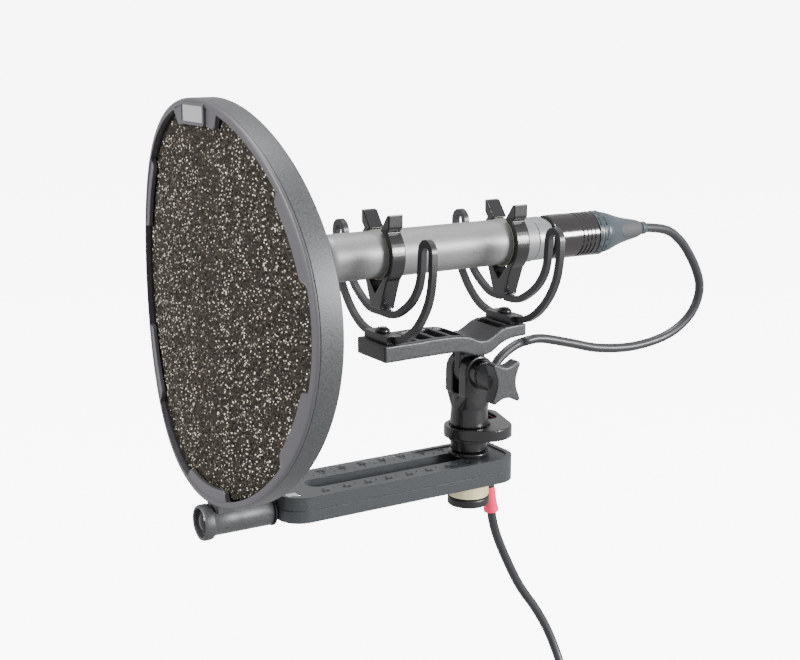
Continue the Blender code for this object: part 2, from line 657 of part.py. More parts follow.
def bar_outline():
    def spread(points):
        route = smooth_route([(y, z, 0) for y, z in points], 0.0027)
        return [(p.x, p.y + TILT_Z) for p in route]
    return spread(BAR_TOP) + spread(BAR_BOTTOM)


def cradle_bar():
    bar = extruded("cradle_bar", [bar_outline()], BAR_WIDTH, "arm_black", plane="YZ")
    half = BAR_WIDTH / 2 - BAR_RAIL_W
    for number, (y0, y1) in enumerate(BAR_WINDOWS, 1):
        outline = rounded_rectangle(-half, y0, half, y1, 0.0008, 3)
        window = extruded(f"bar_window_{number}", [outline], 0.03, None, CUTTERS)
        boolean(bar, shifted(window, z=TILT_Z + 0.015))
    tongue = [(0.0062, TILT_Z + 0.0115), (-0.0062, TILT_Z + 0.0115)] + arc(0, TILT_Z, TONGUE_R, 180, 360, 18)
    web = extruded("tilt_tongue", [tongue], TONGUE_WIDTH, None, CUTTERS, plane="YZ")
    boolean(bar, web, "UNION")
    pin = turned("tongue_bore", [(0, 0.03), (TILT_BORE_R, 0.03), (TILT_BORE_R, 0), (0, 0)], None, steps=24,
                 where=CUTTERS, matrix=along_x(-0.015, TILT_Z))
    boolean(bar, pin)
    for side, y in LYRE_YS.items():
        hole = turned(f"bar_screw_hole_{side}", [(0, 0.02), (SCREW_SHANK_R + GAP, 0.02), (SCREW_SHANK_R + GAP, 0),
                                                 (0, 0)], None, steps=16, where=CUTTERS,
                      matrix=Matrix.Translation((0, y, TILT_Z + 0.008)))
        boolean(bar, hole)


def bar_top_at(y):
    """Height of the bar's top face at this place along it."""
    for (y0, z0), (y1, z1) in zip(BAR_TOP, BAR_TOP[1:]):
        if y0 <= y <= y1:
            return TILT_Z + z0 + (z1 - z0) * (y - y0) / (y1 - y0)
    return TILT_Z + BAR_TOP[-1][1]


def lyre_half(base_z):
    """Centre line of the right half, from the outer base round the hairpin to the inner base."""
    inner_z = MIC_Z - INNER_BASE_BELOW_MIC
    top_z = MIC_Z + HAIRPIN_ABOVE_MIC
    outer_x = LYRE_HALF_SPAN + HAIRPIN_R
    inner_x = LYRE_HALF_SPAN - HAIRPIN_R
    outer = [(0.0, base_z), (0.0110, base_z), (0.0205, base_z + 0.0030), (0.0295, base_z + 0.0102),
             (0.0362, base_z + 0.0200), (0.0388, base_z + 0.0300), (outer_x, top_z)]
    inner = [(inner_x, top_z), (0.0306, MIC_Z - 0.0040), (0.0284, MIC_Z - 0.0105), (0.0228, MIC_Z - 0.0172),
             (0.0136, inner_z + 0.0016), (0.0080, inner_z), (0.0, inner_z)]
    turn = arc(LYRE_HALF_SPAN, top_z, HAIRPIN_R, 0, 180, 9)[1:-1]
    route = smooth_route([(x, z, 0) for x, z in outer], 0.0035)[:-1]
    line = [(p.x, p.y) for p in route] + [(outer_x, top_z)] + turn
    back = smooth_route([(x, z, 0) for x, z in inner], 0.0035)
    return line + [(p.x, p.y) for p in back]


def offset_loop(loop, distance):
    """The closed line moved sideways; positive moves it to its right."""
    moved = []
    for before, here, after in zip(loop[-1:] + loop[:-1], loop, loop[1:] + loop[:1]):
        run = Vector((after[0] - before[0], after[1] - before[1])).normalized()
        moved.append((here[0] + run.y * distance, here[1] - run.x * distance))
    return moved


def lyre(side, y):
    base_z = bar_top_at(y) + GAP + LYRE_BASE_ABOVE_BAR
    right = lyre_half(base_z)
    left = [(-x, z) for x, z in reversed(right[1:-1])]
    loop = right + left
    shape = extruded(f"lyre_{side}", [offset_loop(loop, LYRE_ROD / 2), offset_loop(loop, -LYRE_ROD / 2)], LYRE_DEPTH,
                     "lyre_black", plane="XZ")
    shifted(shape, y=y)
    hole = turned(f"lyre_hole_{side}", [(0, 0.02), (SCREW_SHANK_R + GAP, 0.02), (SCREW_SHANK_R + GAP, 0), (0, 0)],
                  None, steps=16, where=CUTTERS, matrix=Matrix.Translation((0, y, base_z - 0.012)))
    pad = box(f"lyre_pad_{side}", (-0.0095, y - 0.0034, base_z - LYRE_BASE_ABOVE_BAR),
              (0.0095, y + 0.0034, base_z + LYRE_ROD / 2))
    boolean(shape, pad, "UNION")
    boolean(shape, hole)
    head_z = base_z + LYRE_ROD / 2 + GAP
    turned(f"lyre_screw_{side}",
           [(0, head_z + SCREW_HEAD_H), (SCREW_HEAD_R * 0.55, head_z + SCREW_HEAD_H),
            (SCREW_HEAD_R, head_z + SCREW_HEAD_H * 0.35), (SCREW_HEAD_R, head_z), (SCREW_SHANK_R, head_z),
            (SCREW_SHANK_R, base_z - 0.0065), (0, base_z - 0.0065)], "bright_metal", steps=20,
           matrix=Matrix.Translation((0, y, 0)))


def mic_clip_outline():
    inner = MIC_R + MIC_LINER_T + 2 * GAP
    outer = inner + CLIP_WALL
    foot_z = -INNER_BASE_BELOW_MIC + LYRE_ROD / 2 + GAP
    start = 90 - CLIP_MOUTH_DEG
    right_ear = [(0.0040, 0.0103), (0.0094, EAR_H - 0.0004), (0.0113, EAR_H), (0.0113, 0.0122)]
    right = [(x, z) for x, z in arc(0, 0, outer, 47, -48, 14)]
    foot = [(0.0066, foot_z + 0.0064), (CLIP_FOOT_HALF, foot_z + 0.0012), (CLIP_FOOT_HALF, foot_z)]
    half = right_ear + right + foot
    left = [(-x, z) for x, z in reversed(half)]
    bore = (arc(0, 0, inner, 180 - start, 235, 16) + [(0.0, -inner - 0.0052)]
            + arc(0, 0, inner, -55, start, 16))
    return half + left + bore


def mic_clip(side, y):
    clip = extruded(f"mic_clip_{side}", [mic_clip_outline()], CLIP_DEPTH, "lyre_black", plane="XZ")
    shifted(clip, y=y, z=MIC_Z)
    inner = MIC_R + GAP
    outer = inner + MIC_LINER_T
    band = arc(0, 0, outer, 62, -242, 30) + arc(0, 0, inner, -242, 62, 30)
    liner = extruded(f"clip_liner_{side}", [band], CLIP_DEPTH - 0.0006, "liner_pale", plane="XZ")
    shifted(liner, y=y, z=MIC_Z)
    rivet_z = MIC_Z - INNER_BASE_BELOW_MIC + LYRE_ROD / 2 + GAP
    turned(f"clip_rivet_{side}", [(0, rivet_z + RIVET_H), (RIVET_R * 0.6, rivet_z + RIVET_H),
                                  (RIVET_R, rivet_z + RIVET_H * 0.5), (RIVET_R, rivet_z), (0, rivet_z)],
           "bright_metal", steps=14, matrix=Matrix.Translation((0.0064, y, 0)))


def microphone():
    """Profile heights run backwards along +Y, so the rear end comes first."""
    capsule_rear = MIC_FRONT_Y + CAPSULE_LENGTH
    length = MIC_REAR_Y - capsule_rear - GAP
    turned("mic_body", [(0, length), (MIC_R - 0.0003, length), (MIC_R, length - 0.0003), (MIC_R, 0.0003),
                        (MIC_R - 0.0003, 0), (0, 0)], "mic_grey", matrix=along_y(capsule_rear + GAP, MIC_Z))
    turned("mic_capsule", [(0, CAPSULE_LENGTH), (MIC_R - 0.0002, CAPSULE_LENGTH), (MIC_R - 0.0002, 0.0022),
                           (MIC_R - 0.0010, 0.0006), (MIC_R - 0.0024, 0), (MIC_R - 0.0030, 0.0012), (0, 0.0012)],
           "mic_grey", matrix=along_y(MIC_FRONT_Y, MIC_Z))
    band_start = MIC_REAR_Y + GAP
    insert = CONNECTOR_Y - GAP - band_start
    turned("mic_rear_band", [(0, insert), (MIC_BAND_R - 0.0012, insert), (MIC_BAND_R - 0.0012, MIC_BAND_LENGTH),
                             (MIC_BAND_R, MIC_BAND_LENGTH), (MIC_BAND_R, 0), (0, 0)], "mic_grey",
           matrix=along_y(band_start, MIC_Z))


def connector_shell_profile(radius, length):
    """Plug shell with two shallow grooves near its rear."""
    rear = [(0, length), (radius - 0.0003, length)]
    for back in (0.0022, 0.0045):
        rear += [(radius, length - back + 0.0007), (radius - 0.0003, length - back), (radius, length - back - 0.0007)]
    return rear + [(radius, 0.0004), (radius - 0.0004, 0), (0, 0)]


def mic_connector():
    shell = turned("connector_shell", connector_shell_profile(CONNECTOR_R, SHELL_LENGTH), "connector_black",
                   matrix=along_y(CONNECTOR_Y, MIC_Z))
    latch_y = CONNECTOR_Y + 0.0026
    half = LATCH_WIDTH / 2
    low = MIC_Z + CONNECTOR_R - 0.0030
    pocket = box("latch_pocket", (-half - GAP, latch_y - GAP, low), (half + GAP, latch_y + LATCH_LENGTH + GAP,
                                                                     MIC_Z + CONNECTOR_R + 0.001))
    boolean(shell, pocket)
    box("latch_button", (-half, latch_y, low + LATCH_TRAVEL + GAP),
        (half, latch_y + LATCH_LENGTH, MIC_Z + CONNECTOR_R - 0.0002), "connector_black", PARTS)
    nut_y = CONNECTOR_Y + SHELL_LENGTH + GAP
    turned("connector_nut", [(0, NUT_LENGTH), (CONNECTOR_R - 0.0004, NUT_LENGTH), (CONNECTOR_R, NUT_LENGTH - 0.0006),
                             (CONNECTOR_R, 0.0004), (CONNECTOR_R - 0.0004, 0), (0, 0)], "boot_grey",
           matrix=along_y(nut_y, MIC_Z))
    boot_y = nut_y + NUT_LENGTH + GAP
    tip = BOOT_LENGTH + BOOT_TIP_LENGTH
    turned("connector_boot", [(0, tip), (BOOT_TIP_R - 0.0006, tip), (BOOT_TIP_R, tip - 0.0006),
                              (BOOT_TIP_R, BOOT_LENGTH), (BOOT_END_R - 0.0008, BOOT_LENGTH),
                              (BOOT_END_R, BOOT_LENGTH - 0.0012), (BOOT_END_R + 0.0020, BOOT_LENGTH * 0.62),
                              (CONNECTOR_R - 0.0011, BOOT_LENGTH * 0.22), (CONNECTOR_R - 0.0004, 0.0012),
                              (CONNECTOR_R - 0.0006, 0), (0, 0)], "boot_grey", matrix=along_y(boot_y, MIC_Z))
    return boot_y + tip


def bowed(obj):
    """Bends a flat filter piece about an upright axis behind it. All of them are cut into the same strips."""
    shape = bmesh.new()
    shape.from_mesh(obj.data)
    for i in range(1 - FRAME_STRIPS, FRAME_STRIPS):
        everything = shape.verts[:] + shape.edges[:] + shape.faces[:]
        bmesh.ops.bisect_plane(shape, geom=everything, plane_co=(FRAME_R * i / FRAME_STRIPS, 0, 0), plane_no=(1, 0, 0))
    for vertex in shape.verts:
        vertex.co.y += FRAME_BOW * vertex.co.x ** 2
    shape.to_mesh(obj.data)
    shape.free()
    return smooth(obj)


def tabbed_circle(radius, count=120):
    """Inner edge of a ring with tabs that reach inwards; each tab has its direction, half its angle and its reach."""
    outline = []
    for i in range(count):
        angle = 360.0 * i / count
        r = radius
        for direction, half, reach in TABS:
            from_tab = abs((angle - direction + 180.0) % 360.0 - 180.0)
            r -= reach * min(1.0, max(0.0, (half - from_tab) / TAB_FLANK_DEG))
        outline.append((r * math.cos(math.radians(angle)), r * math.sin(math.radians(angle))))
    return outline


def filter_frame():
    front = FRAME_FRONT_Y
    bezel = extruded("front_bezel", [circle(0, 0, FRAME_R, 72), tabbed_circle(FRAME_R - BEZEL_WIDTH)],
                     BEZEL_T, "frame_grey", plane="XZ")
    shifted(bezel, y=front + BEZEL_T / 2, z=FRAME_Z)
    badge_z = FRAME_Z + FRAME_R - (BEZEL_WIDTH + TABS[0][2]) / 2 - 0.0007
    half_w, half_h = FRAME_BADGE_WIDTH / 2, FRAME_BADGE_H / 2
    recess = box("badge_recess", (-half_w - GAP, front - 0.001, badge_z - half_h - GAP),
                 (half_w + GAP, front + FRAME_BADGE_T + GAP, badge_z + half_h + GAP))
    boolean(bezel, recess)
    bowed(baked(bezel))
    box("frame_badge", (-half_w, front + 0.0005, badge_z - half_h), (half_w, front + FRAME_BADGE_T, badge_z + half_h),
        "bright_metal", PARTS)
    band_front = front + BEZEL_T + GAP
    band_rear = front + FRAME_DEPTH
    ledge_y = band_rear - REAR_RING_T - GAP
    inner_r = FRAME_R - HOOP_WALL
    hoop = turned("hoop", [(inner_r, band_rear - band_front), (FRAME_R - 0.0011, band_rear - band_front),
                           (FRAME_R - 0.0002, 0.006), (FRAME_R, 0.0), (inner_r, 0.0)], "frame_grey", steps=72,
                  closed=True, matrix=along_y(band_front, FRAME_Z))
    hoop = bowed(baked(hoop))
    sleeve = turned("hinge_sleeve_form",
                    [(0, SLEEVE_REAR_Y - SLEEVE_FRONT_Y), (SLEEVE_REAR_R, SLEEVE_REAR_Y - SLEEVE_FRONT_Y),
                     (SLEEVE_FRONT_R, COLLAR_LENGTH + 0.0004), (COLLAR_R, COLLAR_LENGTH),
                     (COLLAR_R, 0.0008), (COLLAR_R - 0.0008, 0), (0, 0)], None, steps=36, where=CUTTERS,
                    matrix=along_y(SLEEVE_FRONT_Y, HINGE_Z))
    web = box("hinge_web", (-0.0052, band_front, HINGE_Z), (0.0052, band_rear, FRAME_Z - FRAME_R + 0.0010))
    clearance = box("bezel_clearance", (-0.02, FRAME_FRONT_Y - GAP, FRAME_Z - FRAME_R - GAP),
                    (0.02, band_front, FRAME_Z))
    bore = turned("hinge_bore", [(0, 0.05), (HINGE_BORE_R, 0.05), (HINGE_BORE_R, HINGE_RECESS_DEPTH),
                                 (HINGE_RECESS_R, HINGE_RECESS_DEPTH), (HINGE_RECESS_R, -0.001), (0, -0.001)],
                  None, steps=32, where=CUTTERS, matrix=along_y(SLEEVE_FRONT_Y, HINGE_Z))
    boolean(hoop, sleeve, "UNION")
    boolean(hoop, web, "UNION")
    boolean(hoop, clearance)
    boolean(hoop, bore)
    ring_r = inner_r - GAP
    rear = extruded("rear_ring", [circle(0, 0, ring_r, 72), tabbed_circle(ring_r - REAR_RING_WIDTH)],
                    REAR_RING_T, "frame_grey", plane="XZ")
    bowed(shifted(rear, y=band_rear - REAR_RING_T / 2, z=FRAME_Z))
    foam_front, foam_rear = band_front, ledge_y
    foam = extruded("foam_disc", [circle(0, 0, ring_r - GAP, 60)], foam_rear - foam_front, "foam_brown", plane="XZ")
    shifted(foam, y=(foam_front + foam_rear) / 2, z=FRAME_Z)
    bowed(foam)


def filter_hinge():
    seat = SLEEVE_FRONT_Y + HINGE_RECESS_DEPTH
    shank = HINGE_SHANK_R
    washer_front = seat - GAP - HINGE_WASHER_H
    turned("hinge_washer", [(HINGE_BORE_R, HINGE_WASHER_H), (HINGE_WASHER_R, HINGE_WASHER_H),
                            (HINGE_WASHER_R, 0.0004), (HINGE_WASHER_R - 0.0004, 0), (HINGE_BORE_R, 0)],
           "bright_metal", closed=True, matrix=along_y(washer_front, HINGE_Z), steps=32)
    head_rear = washer_front - GAP
    head_front = head_rear - HINGE_HEAD_H
    turned("hinge_bolt", [(0, HINGE_SHANK_END_Y - head_front), (shank, HINGE_SHANK_END_Y - head_front),
                          (shank, HINGE_HEAD_H), (HINGE_HEAD_R, HINGE_HEAD_H), (HINGE_HEAD_R, 0.0006),
                          (HINGE_HEAD_R - 0.0006, 0), (0, 0)], "swivel_black", steps=28,
           matrix=along_y(head_front, HINGE_Z))
    spacer_front = SLEEVE_REAR_Y + GAP
    spacer_h = ARM_FRONT_Y - GAP - spacer_front
    turned("hinge_spacer", [(HINGE_BORE_R, spacer_h), (SLEEVE_REAR_R + 0.0003, spacer_h),
                            (SLEEVE_REAR_R + 0.0003, 0), (HINGE_BORE_R, 0)], "swivel_black", closed=True,
           matrix=along_y(spacer_front, HINGE_Z), steps=32)


def lead(head_start_y):
    """The lead in three lengths, which meet at the clip's two sides; the last one runs through the red boot."""
    head = [(0.0, head_start_y + GAP, MIC_Z), *HEAD_ROUTE]
    tube("lead_head", smooth_route(head, 0.0110), CABLE_R, "cable_grey")
    tube("lead_neck", smooth_route(NECK_ROUTE, 0.0080), CABLE_R, "cable_grey")
    tail = smooth_route(TAIL_ROUTE, 0.0062) + smooth_route(FALL_ROUTE, 0.0110)
    tube("lead_tail", tail, CABLE_R, "cable_grey")
    top, end = Vector(TAIL_ROUTE[-1]), Vector(FALL_ROUTE[0])
    length = (end - top).length
    bore = CABLE_R + RED_BOOT_GAP
    turn = (end - top).to_track_quat("Z", "Y").to_matrix().to_4x4()
    turned("red_boot", [(bore, length), (RED_BOOT_FLANGE_R, length), (RED_BOOT_FLANGE_R, length - 0.0016),
                        (RED_BOOT_END_R, length - 0.0020), (RED_BOOT_TOP_R, 0), (bore, 0)], "boot_red", steps=20,
           closed=True, matrix=Matrix.Translation(top) @ turn)


def lead_store():
    """The rest of the lead, coiled, tied and lying on the floor with its plug beside it."""
    x, y = COIL_CENTRE
    inner, outer = COIL_MEAN_R - COIL_HALF_WIDTH, COIL_MEAN_R + COIL_HALF_WIDTH
    low = FLOOR_Z + TIE_T + 2 * GAP
    high = low + COIL_H
    corner = 0.0030
    turned("lead_coil", [(inner + corner, high), (outer - corner, high), (outer, high - corner),
                         (outer, low + corner), (outer - corner, low), (inner + corner, low), (inner, low + corner),
                         (inner, high - corner)], "cable_grey", steps=40, closed=True,
           matrix=Matrix.Translation((x, y, 0)))
    w, h = COIL_HALF_WIDTH + TIE_GAP + TIE_T, COIL_H + 2 * GAP + 2 * TIE_T
    mid = (low + high) / 2
    band = [rounded_rectangle(-w, -h / 2, w, h / 2, corner, 4),
            rounded_rectangle(-w + TIE_T, -h / 2 + TIE_T, w - TIE_T, h / 2 - TIE_T, corner - TIE_T * 0.5, 4)]
    tie = extruded("coil_tie", band, TIE_WIDTH, "liner_red", plane="XZ")
    tie.data.transform(Matrix.Translation((x, y, mid)) @ Matrix.Rotation(math.radians(-70), 4, "Z")
                       @ Matrix.Translation((COIL_MEAN_R, 0, 0)))
    tube("lead_end", smooth_route(END_ROUTE, 0.0100), CABLE_R, "cable_grey")
    length = PLUG_SHELL_LENGTH + PLUG_BOOT_LENGTH
    cable_end = Matrix.Translation((*PLUG_CABLE_END, FLOOR_Z + PLUG_R + 0.0003))
    heading = Matrix.Rotation(math.radians(PLUG_HEADING_DEG), 4, "Z")
    turned("lead_plug", [(0, length), (CABLE_R + 0.0012, length), (BOOT_END_R, length - 0.004),
                         (PLUG_R - 0.0008, PLUG_SHELL_LENGTH + 0.004), (PLUG_R, PLUG_SHELL_LENGTH),
                         (PLUG_R, 0.0006), (PLUG_R - 0.0006, 0), (PLUG_R - 0.0016, 0), (PLUG_R - 0.0016, 0.012),
                         (0, 0.012)], "connector_black", steps=24, matrix=cable_end @ heading @ along_y(-length))


def main():
    clear_scene()
    stand_coupling()
    arm()
    slot_guide()
    swivel_base()
    cable_clip()
    fork()
    knob()
    cradle_bar()
    for side, y in LYRE_YS.items():
        lyre(side, y)
        mic_clip(side, y)
    microphone()
    head_start = mic_connector()
    filter_frame()
    filter_hinge()
    lead(head_start)
    lead_store()


main()
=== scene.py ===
# %% [markdown]
# # A foam pop filter on a microphone stand
#
# The object is a round foam screen held in front of a slim microphone. A slotted arm carries the screen, a
# swivel and a cradle with two springy lyres carry the microphone, and the lead runs back down through a clip.
# The solid model is already made, so this script gives it its looks: it loads that model as a frame, hides the
# plain solids one by one, and puts finished pieces in their places.

import json
import math

import bmesh
import bpy
from mathutils import Matrix, Vector, noise


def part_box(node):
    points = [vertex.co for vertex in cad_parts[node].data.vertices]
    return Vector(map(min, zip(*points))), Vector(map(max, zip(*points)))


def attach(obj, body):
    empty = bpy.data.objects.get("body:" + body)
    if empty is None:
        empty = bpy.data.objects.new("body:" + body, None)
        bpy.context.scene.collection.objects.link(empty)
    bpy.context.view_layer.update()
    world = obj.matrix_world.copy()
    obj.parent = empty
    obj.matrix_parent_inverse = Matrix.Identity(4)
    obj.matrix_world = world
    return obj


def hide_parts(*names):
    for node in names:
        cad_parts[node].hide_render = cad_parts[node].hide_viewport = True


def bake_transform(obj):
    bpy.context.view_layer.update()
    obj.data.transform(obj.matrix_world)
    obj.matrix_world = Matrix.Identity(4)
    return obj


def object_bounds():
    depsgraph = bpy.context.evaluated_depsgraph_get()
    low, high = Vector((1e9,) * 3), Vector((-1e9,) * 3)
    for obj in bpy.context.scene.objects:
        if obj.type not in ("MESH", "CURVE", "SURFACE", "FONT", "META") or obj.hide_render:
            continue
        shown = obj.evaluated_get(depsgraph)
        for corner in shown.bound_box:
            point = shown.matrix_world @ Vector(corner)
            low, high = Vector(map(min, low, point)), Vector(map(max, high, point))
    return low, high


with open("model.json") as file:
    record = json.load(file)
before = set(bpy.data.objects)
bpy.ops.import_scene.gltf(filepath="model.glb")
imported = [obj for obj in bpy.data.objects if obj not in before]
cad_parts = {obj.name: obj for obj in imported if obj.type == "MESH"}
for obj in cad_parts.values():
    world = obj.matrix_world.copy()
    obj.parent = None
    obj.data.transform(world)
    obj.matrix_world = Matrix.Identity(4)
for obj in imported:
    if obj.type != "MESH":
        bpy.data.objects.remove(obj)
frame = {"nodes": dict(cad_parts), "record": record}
cad_box = [list(corner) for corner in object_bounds()]
body_of = {node: body for body, nodes in frame["record"]["behaviour"]["bodies"].items() for node in nodes}


def low(node):
    return Vector(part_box(node)[0])


def high(node):
    return Vector(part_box(node)[1])


def middle(node):
    return (low(node) + high(node)) / 2


# %% [markdown]
# ## The camera
#
# The view is from the knob's side, a little above, with a longish lens so that the round screen keeps its shape.
# A camera could be aimed with a Track To constraint, but a place and two angles say the same thing plainly.

# %% Camera
AZIMUTH = math.radians(58.60)
ELEVATION = math.radians(12.58)

lens = bpy.data.cameras.new("camera")
lens.sensor_width = 36.0
lens.lens = 62.3
lens.clip_end = 60.0
camera = bpy.data.objects.new("camera", lens)
camera.location = (0.48969, -0.33489, 0.21184)
camera.rotation_euler = (math.pi / 2 - ELEVATION, 0.0, AZIMUTH)
bpy.context.scene.collection.objects.link(camera)
bpy.context.scene.camera = camera
print("camera", tuple(camera.location))

# %% [markdown]
# ## The lead
#
# A microphone lead is a soft cord of a fixed length. It leaves the plug behind the microphone, swings round in
# one wide loop, passes beside the cradle and goes down through the clip. From there it hangs to the floor, where
# the rest is wound into a round coil, and it ends in the plug for the desk. Listed points give the route, a
# smooth curve runs through them, and a loop works out the coil's turns.

# %% The route
CORD_R = 0.0022
CORD_STEP = 0.0040
LEAD_LENGTH = 2.50
COIL_CENTRE = Vector((0.0050, 0.0090))
COIL_OUTER_R = 0.0315
COIL_LAYERS = 4
COIL_TURNS = 12
COIL_START, COIL_END = math.radians(36), math.radians(62)
STEPS_PER_TURN = 36
CLIMB_STEPS = 14  # steps over which the cord climbs from one layer to the next

HEAD_ROUTE = ((-0.0011, 0.1120, 0.1153), (-0.0020, 0.1198, 0.1115),
              (-0.0029, 0.1275, 0.1048), (-0.0042, 0.1363, 0.0930), (-0.0055, 0.1402, 0.0822),
              (-0.0070, 0.1362, 0.0703), (-0.0086, 0.1237, 0.0615), (-0.0102, 0.1041, 0.0577),
              (-0.0116, 0.0834, 0.0589), (-0.0130, 0.0662, 0.0632), (-0.0142, 0.0493, 0.0672),
              (-0.0149, 0.0390, 0.0664))
NECK_ROUTE = ((-0.0150, 0.0363, 0.0657), (-0.0150, 0.0300, 0.0626), (-0.0148, 0.0250, 0.0585),
              (-0.0140, 0.0212, 0.0525), (-0.0127, 0.0180, 0.0460), (-0.0118, 0.0162, 0.0410),
              (-0.0115, 0.0156, 0.0383))
TAIL_ROUTE = ((-0.0115, 0.0154, 0.0373), (-0.0115, 0.0153, 0.0345), (-0.0119, 0.0155, 0.0315),
              (-0.0140, 0.0165, 0.0290), (-0.0172, 0.0185, 0.0263), (-0.0197, 0.0204, 0.0225),
              (-0.0208, 0.0218, 0.0165), (-0.0213, 0.0236, 0.0085), (-0.0216, 0.0250, 0.0030),
              (-0.0217, 0.0265, -0.0034))
FALL_ROUTE = ((-0.0220, 0.0284, -0.0159), (-0.0220, 0.0292, -0.0205), (-0.0220, 0.0318, -0.0292),
              (-0.0220, 0.0359, -0.0386), (-0.0220, 0.0407, -0.0485), (-0.0219, 0.0470, -0.0598),
              (-0.0215, 0.0546, -0.0705), (-0.0198, 0.0615, -0.0830), (-0.0162, 0.0655, -0.0960),
              (-0.0100, 0.0660, -0.1070), (-0.0005, 0.0630, -0.1142), (0.0110, 0.0555, -0.1172),
              (0.0215, 0.0445, -0.1174))
END_ROUTE = ((0.0397, 0.0217, -0.1101), (0.0430, 0.0135, -0.1101), (0.0458, 0.0045, -0.1101),
             (0.0469, -0.0050, -0.1101), (0.0464, -0.0130, -0.1101))


def smooth_route(points, spacing, pieces_each=24):
    """Evenly spaced points on a smooth curve through the given ones."""
    knots = [Vector(p) for p in points]
    knots = [2 * knots[0] - knots[1]] + knots + [2 * knots[-1] - knots[-2]]
    fine = []
    for a, b, c, d in zip(knots, knots[1:], knots[2:], knots[3:]):
        for i in range(pieces_each):
            t = i / pieces_each
            fine.append(0.5 * (2 * b + (c - a) * t + (2 * a - 5 * b + 4 * c - d) * t * t
                               + (3 * b - 3 * c + d - a) * t ** 3))
    fine.append(knots[-2])
    count = max(2, round(path_length(fine) / spacing))
    even, walked, at = [fine[0]], 0.0, 0
    for want in (path_length(fine) * i / count for i in range(1, count)):
        while walked + (fine[at + 1] - fine[at]).length < want:
            walked += (fine[at + 1] - fine[at]).length
            at += 1
        share = (want - walked) / (fine[at + 1] - fine[at]).length
        even.append(fine[at].lerp(fine[at + 1], share))
    return even + [fine[-1]]


def path_length(points):
    return sum((q - p).length for p, q in zip(points, points[1:]))


# %% [markdown]
# The coil is wound in four layers. Each layer is a flat spiral, the first inwards and the next outwards, so that
# the last one ends on the outside where the plug's end leaves it. The coil's outer size and its number of turns
# are given, and the spirals' pitch is whatever the rest of the lead's length needs.

# %% The coil's turns
def coil_path(length, start_z, end_z):
    """Clockwise turns of this total length, in flat spirals that go in and out by layers."""
    turns = (COIL_TURNS + (COIL_START - COIL_END) / (2 * math.pi)) / COIL_LAYERS
    mean = length / COIL_LAYERS / (2 * math.pi * turns)
    pitch = 2 * (COIL_OUTER_R - mean) / turns
    points, angle, steps = [], COIL_START, round(turns * STEPS_PER_TURN)
    for layer in range(COIL_LAYERS):
        for i in range(steps + (layer == COIL_LAYERS - 1)):
            share = i / steps
            r = COIL_OUTER_R - pitch * turns * (share if layer % 2 == 0 else 1 - share)
            climbed = layer - 1 + min(1.0, i / CLIMB_STEPS) if layer else 0.0
            z = start_z + (end_z - start_z) * climbed / (COIL_LAYERS - 1)
            points.append(Vector((COIL_CENTRE.x + r * math.cos(angle),
                                  COIL_CENTRE.y + r * math.sin(angle), z)))
            angle -= 2 * math.pi * turns / steps
    print("coil turns", round(turns * COIL_LAYERS, 2), "pitch", round(pitch, 5))
    return points


def tube(name, path, sides):
    """A closed tube along the path, with the UV map's U along it, in metres, and V round it."""
    count = len(path)
    tangents = [(path[min(i + 1, count - 1)] - path[max(i - 1, 0)]).normalized() for i in range(count)]
    normal = tangents[0].orthogonal().normalized()
    shape = bmesh.new()
    uv = shape.loops.layers.uv.new("along")
    rings, walked = [], [0.0]
    for i, (point, tangent) in enumerate(zip(path, tangents)):
        normal = (normal - tangent * normal.dot(tangent)).normalized()
        side = tangent.cross(normal)
        turns = [2 * math.pi * k / sides for k in range(sides)]
        rings.append([shape.verts.new(point + CORD_R * (normal * math.cos(t) + side * math.sin(t)))
                      for t in turns])
        if i:
            walked.append(walked[-1] + (point - path[i - 1]).length)
    for i, (ring, after) in enumerate(zip(rings, rings[1:])):
        for k in range(sides):
            j = (k + 1) % sides
            face = shape.faces.new((ring[k], ring[j], after[j], after[k]))
            corners = ((i, k), (i, k + 1), (i + 1, k + 1), (i + 1, k))
            for loop, (a, b) in zip(face.loops, corners):
                loop[uv].uv = (walked[a], b / sides)
    shape.faces.new(list(reversed(rings[0])))
    shape.faces.new(rings[-1])
    bmesh.ops.recalc_face_normals(shape, faces=shape.faces)
    mesh = bpy.data.meshes.new(name)
    shape.to_mesh(mesh)
    shape.free()
    mesh.shade_smooth()
    obj = bpy.data.objects.new(name, mesh)
    bpy.context.scene.collection.objects.link(obj)
    return obj


boot_tip = high("connector_boot").y
mic_z = middle("connector_boot").z
head_path = smooth_route(((0.0, boot_tip - 0.008, mic_z), (0.0, boot_tip, mic_z)) + HEAD_ROUTE, CORD_STEP)
neck_path = smooth_route((HEAD_ROUTE[-1],) + NECK_ROUTE, 0.0030)
fall_path = smooth_route((NECK_ROUTE[-1],) + TAIL_ROUTE + FALL_ROUTE, CORD_STEP)
end_path = smooth_route(END_ROUTE, CORD_STEP)
TO_COIL, FROM_COIL = 0.0148, 0.0237
laid_out = sum(map(path_length, (head_path, neck_path, fall_path, end_path)))
spare = LEAD_LENGTH - laid_out - TO_COIL - FROM_COIL
coil = coil_path(spare, low("lead_coil").z + CORD_R + 0.0003, high("lead_coil").z - CORD_R - 0.0004)
tail_path = smooth_route(fall_path[:-1:2] + coil[1:-1:3] + end_path[::2], 0.0042)

lead_head = tube("lead_upper_loop", head_path, 16)
lead_neck = tube("lead_beside_swivel", neck_path, 16)
lead_tail = tube("lead_fall_and_coil", tail_path, 12)
print("lead", round(sum(map(path_length, (head_path, neck_path, tail_path))), 3), "m")

# %% [markdown]
# ## Materials
#
# Moulded plastic is never one flat colour: it has a fine grain from the tool, it is a little shinier where it is
# handled, and its tone drifts over the part. One helper builds that from two noise textures on Object
# coordinates, and each finish sets its own colour, grain and gloss.

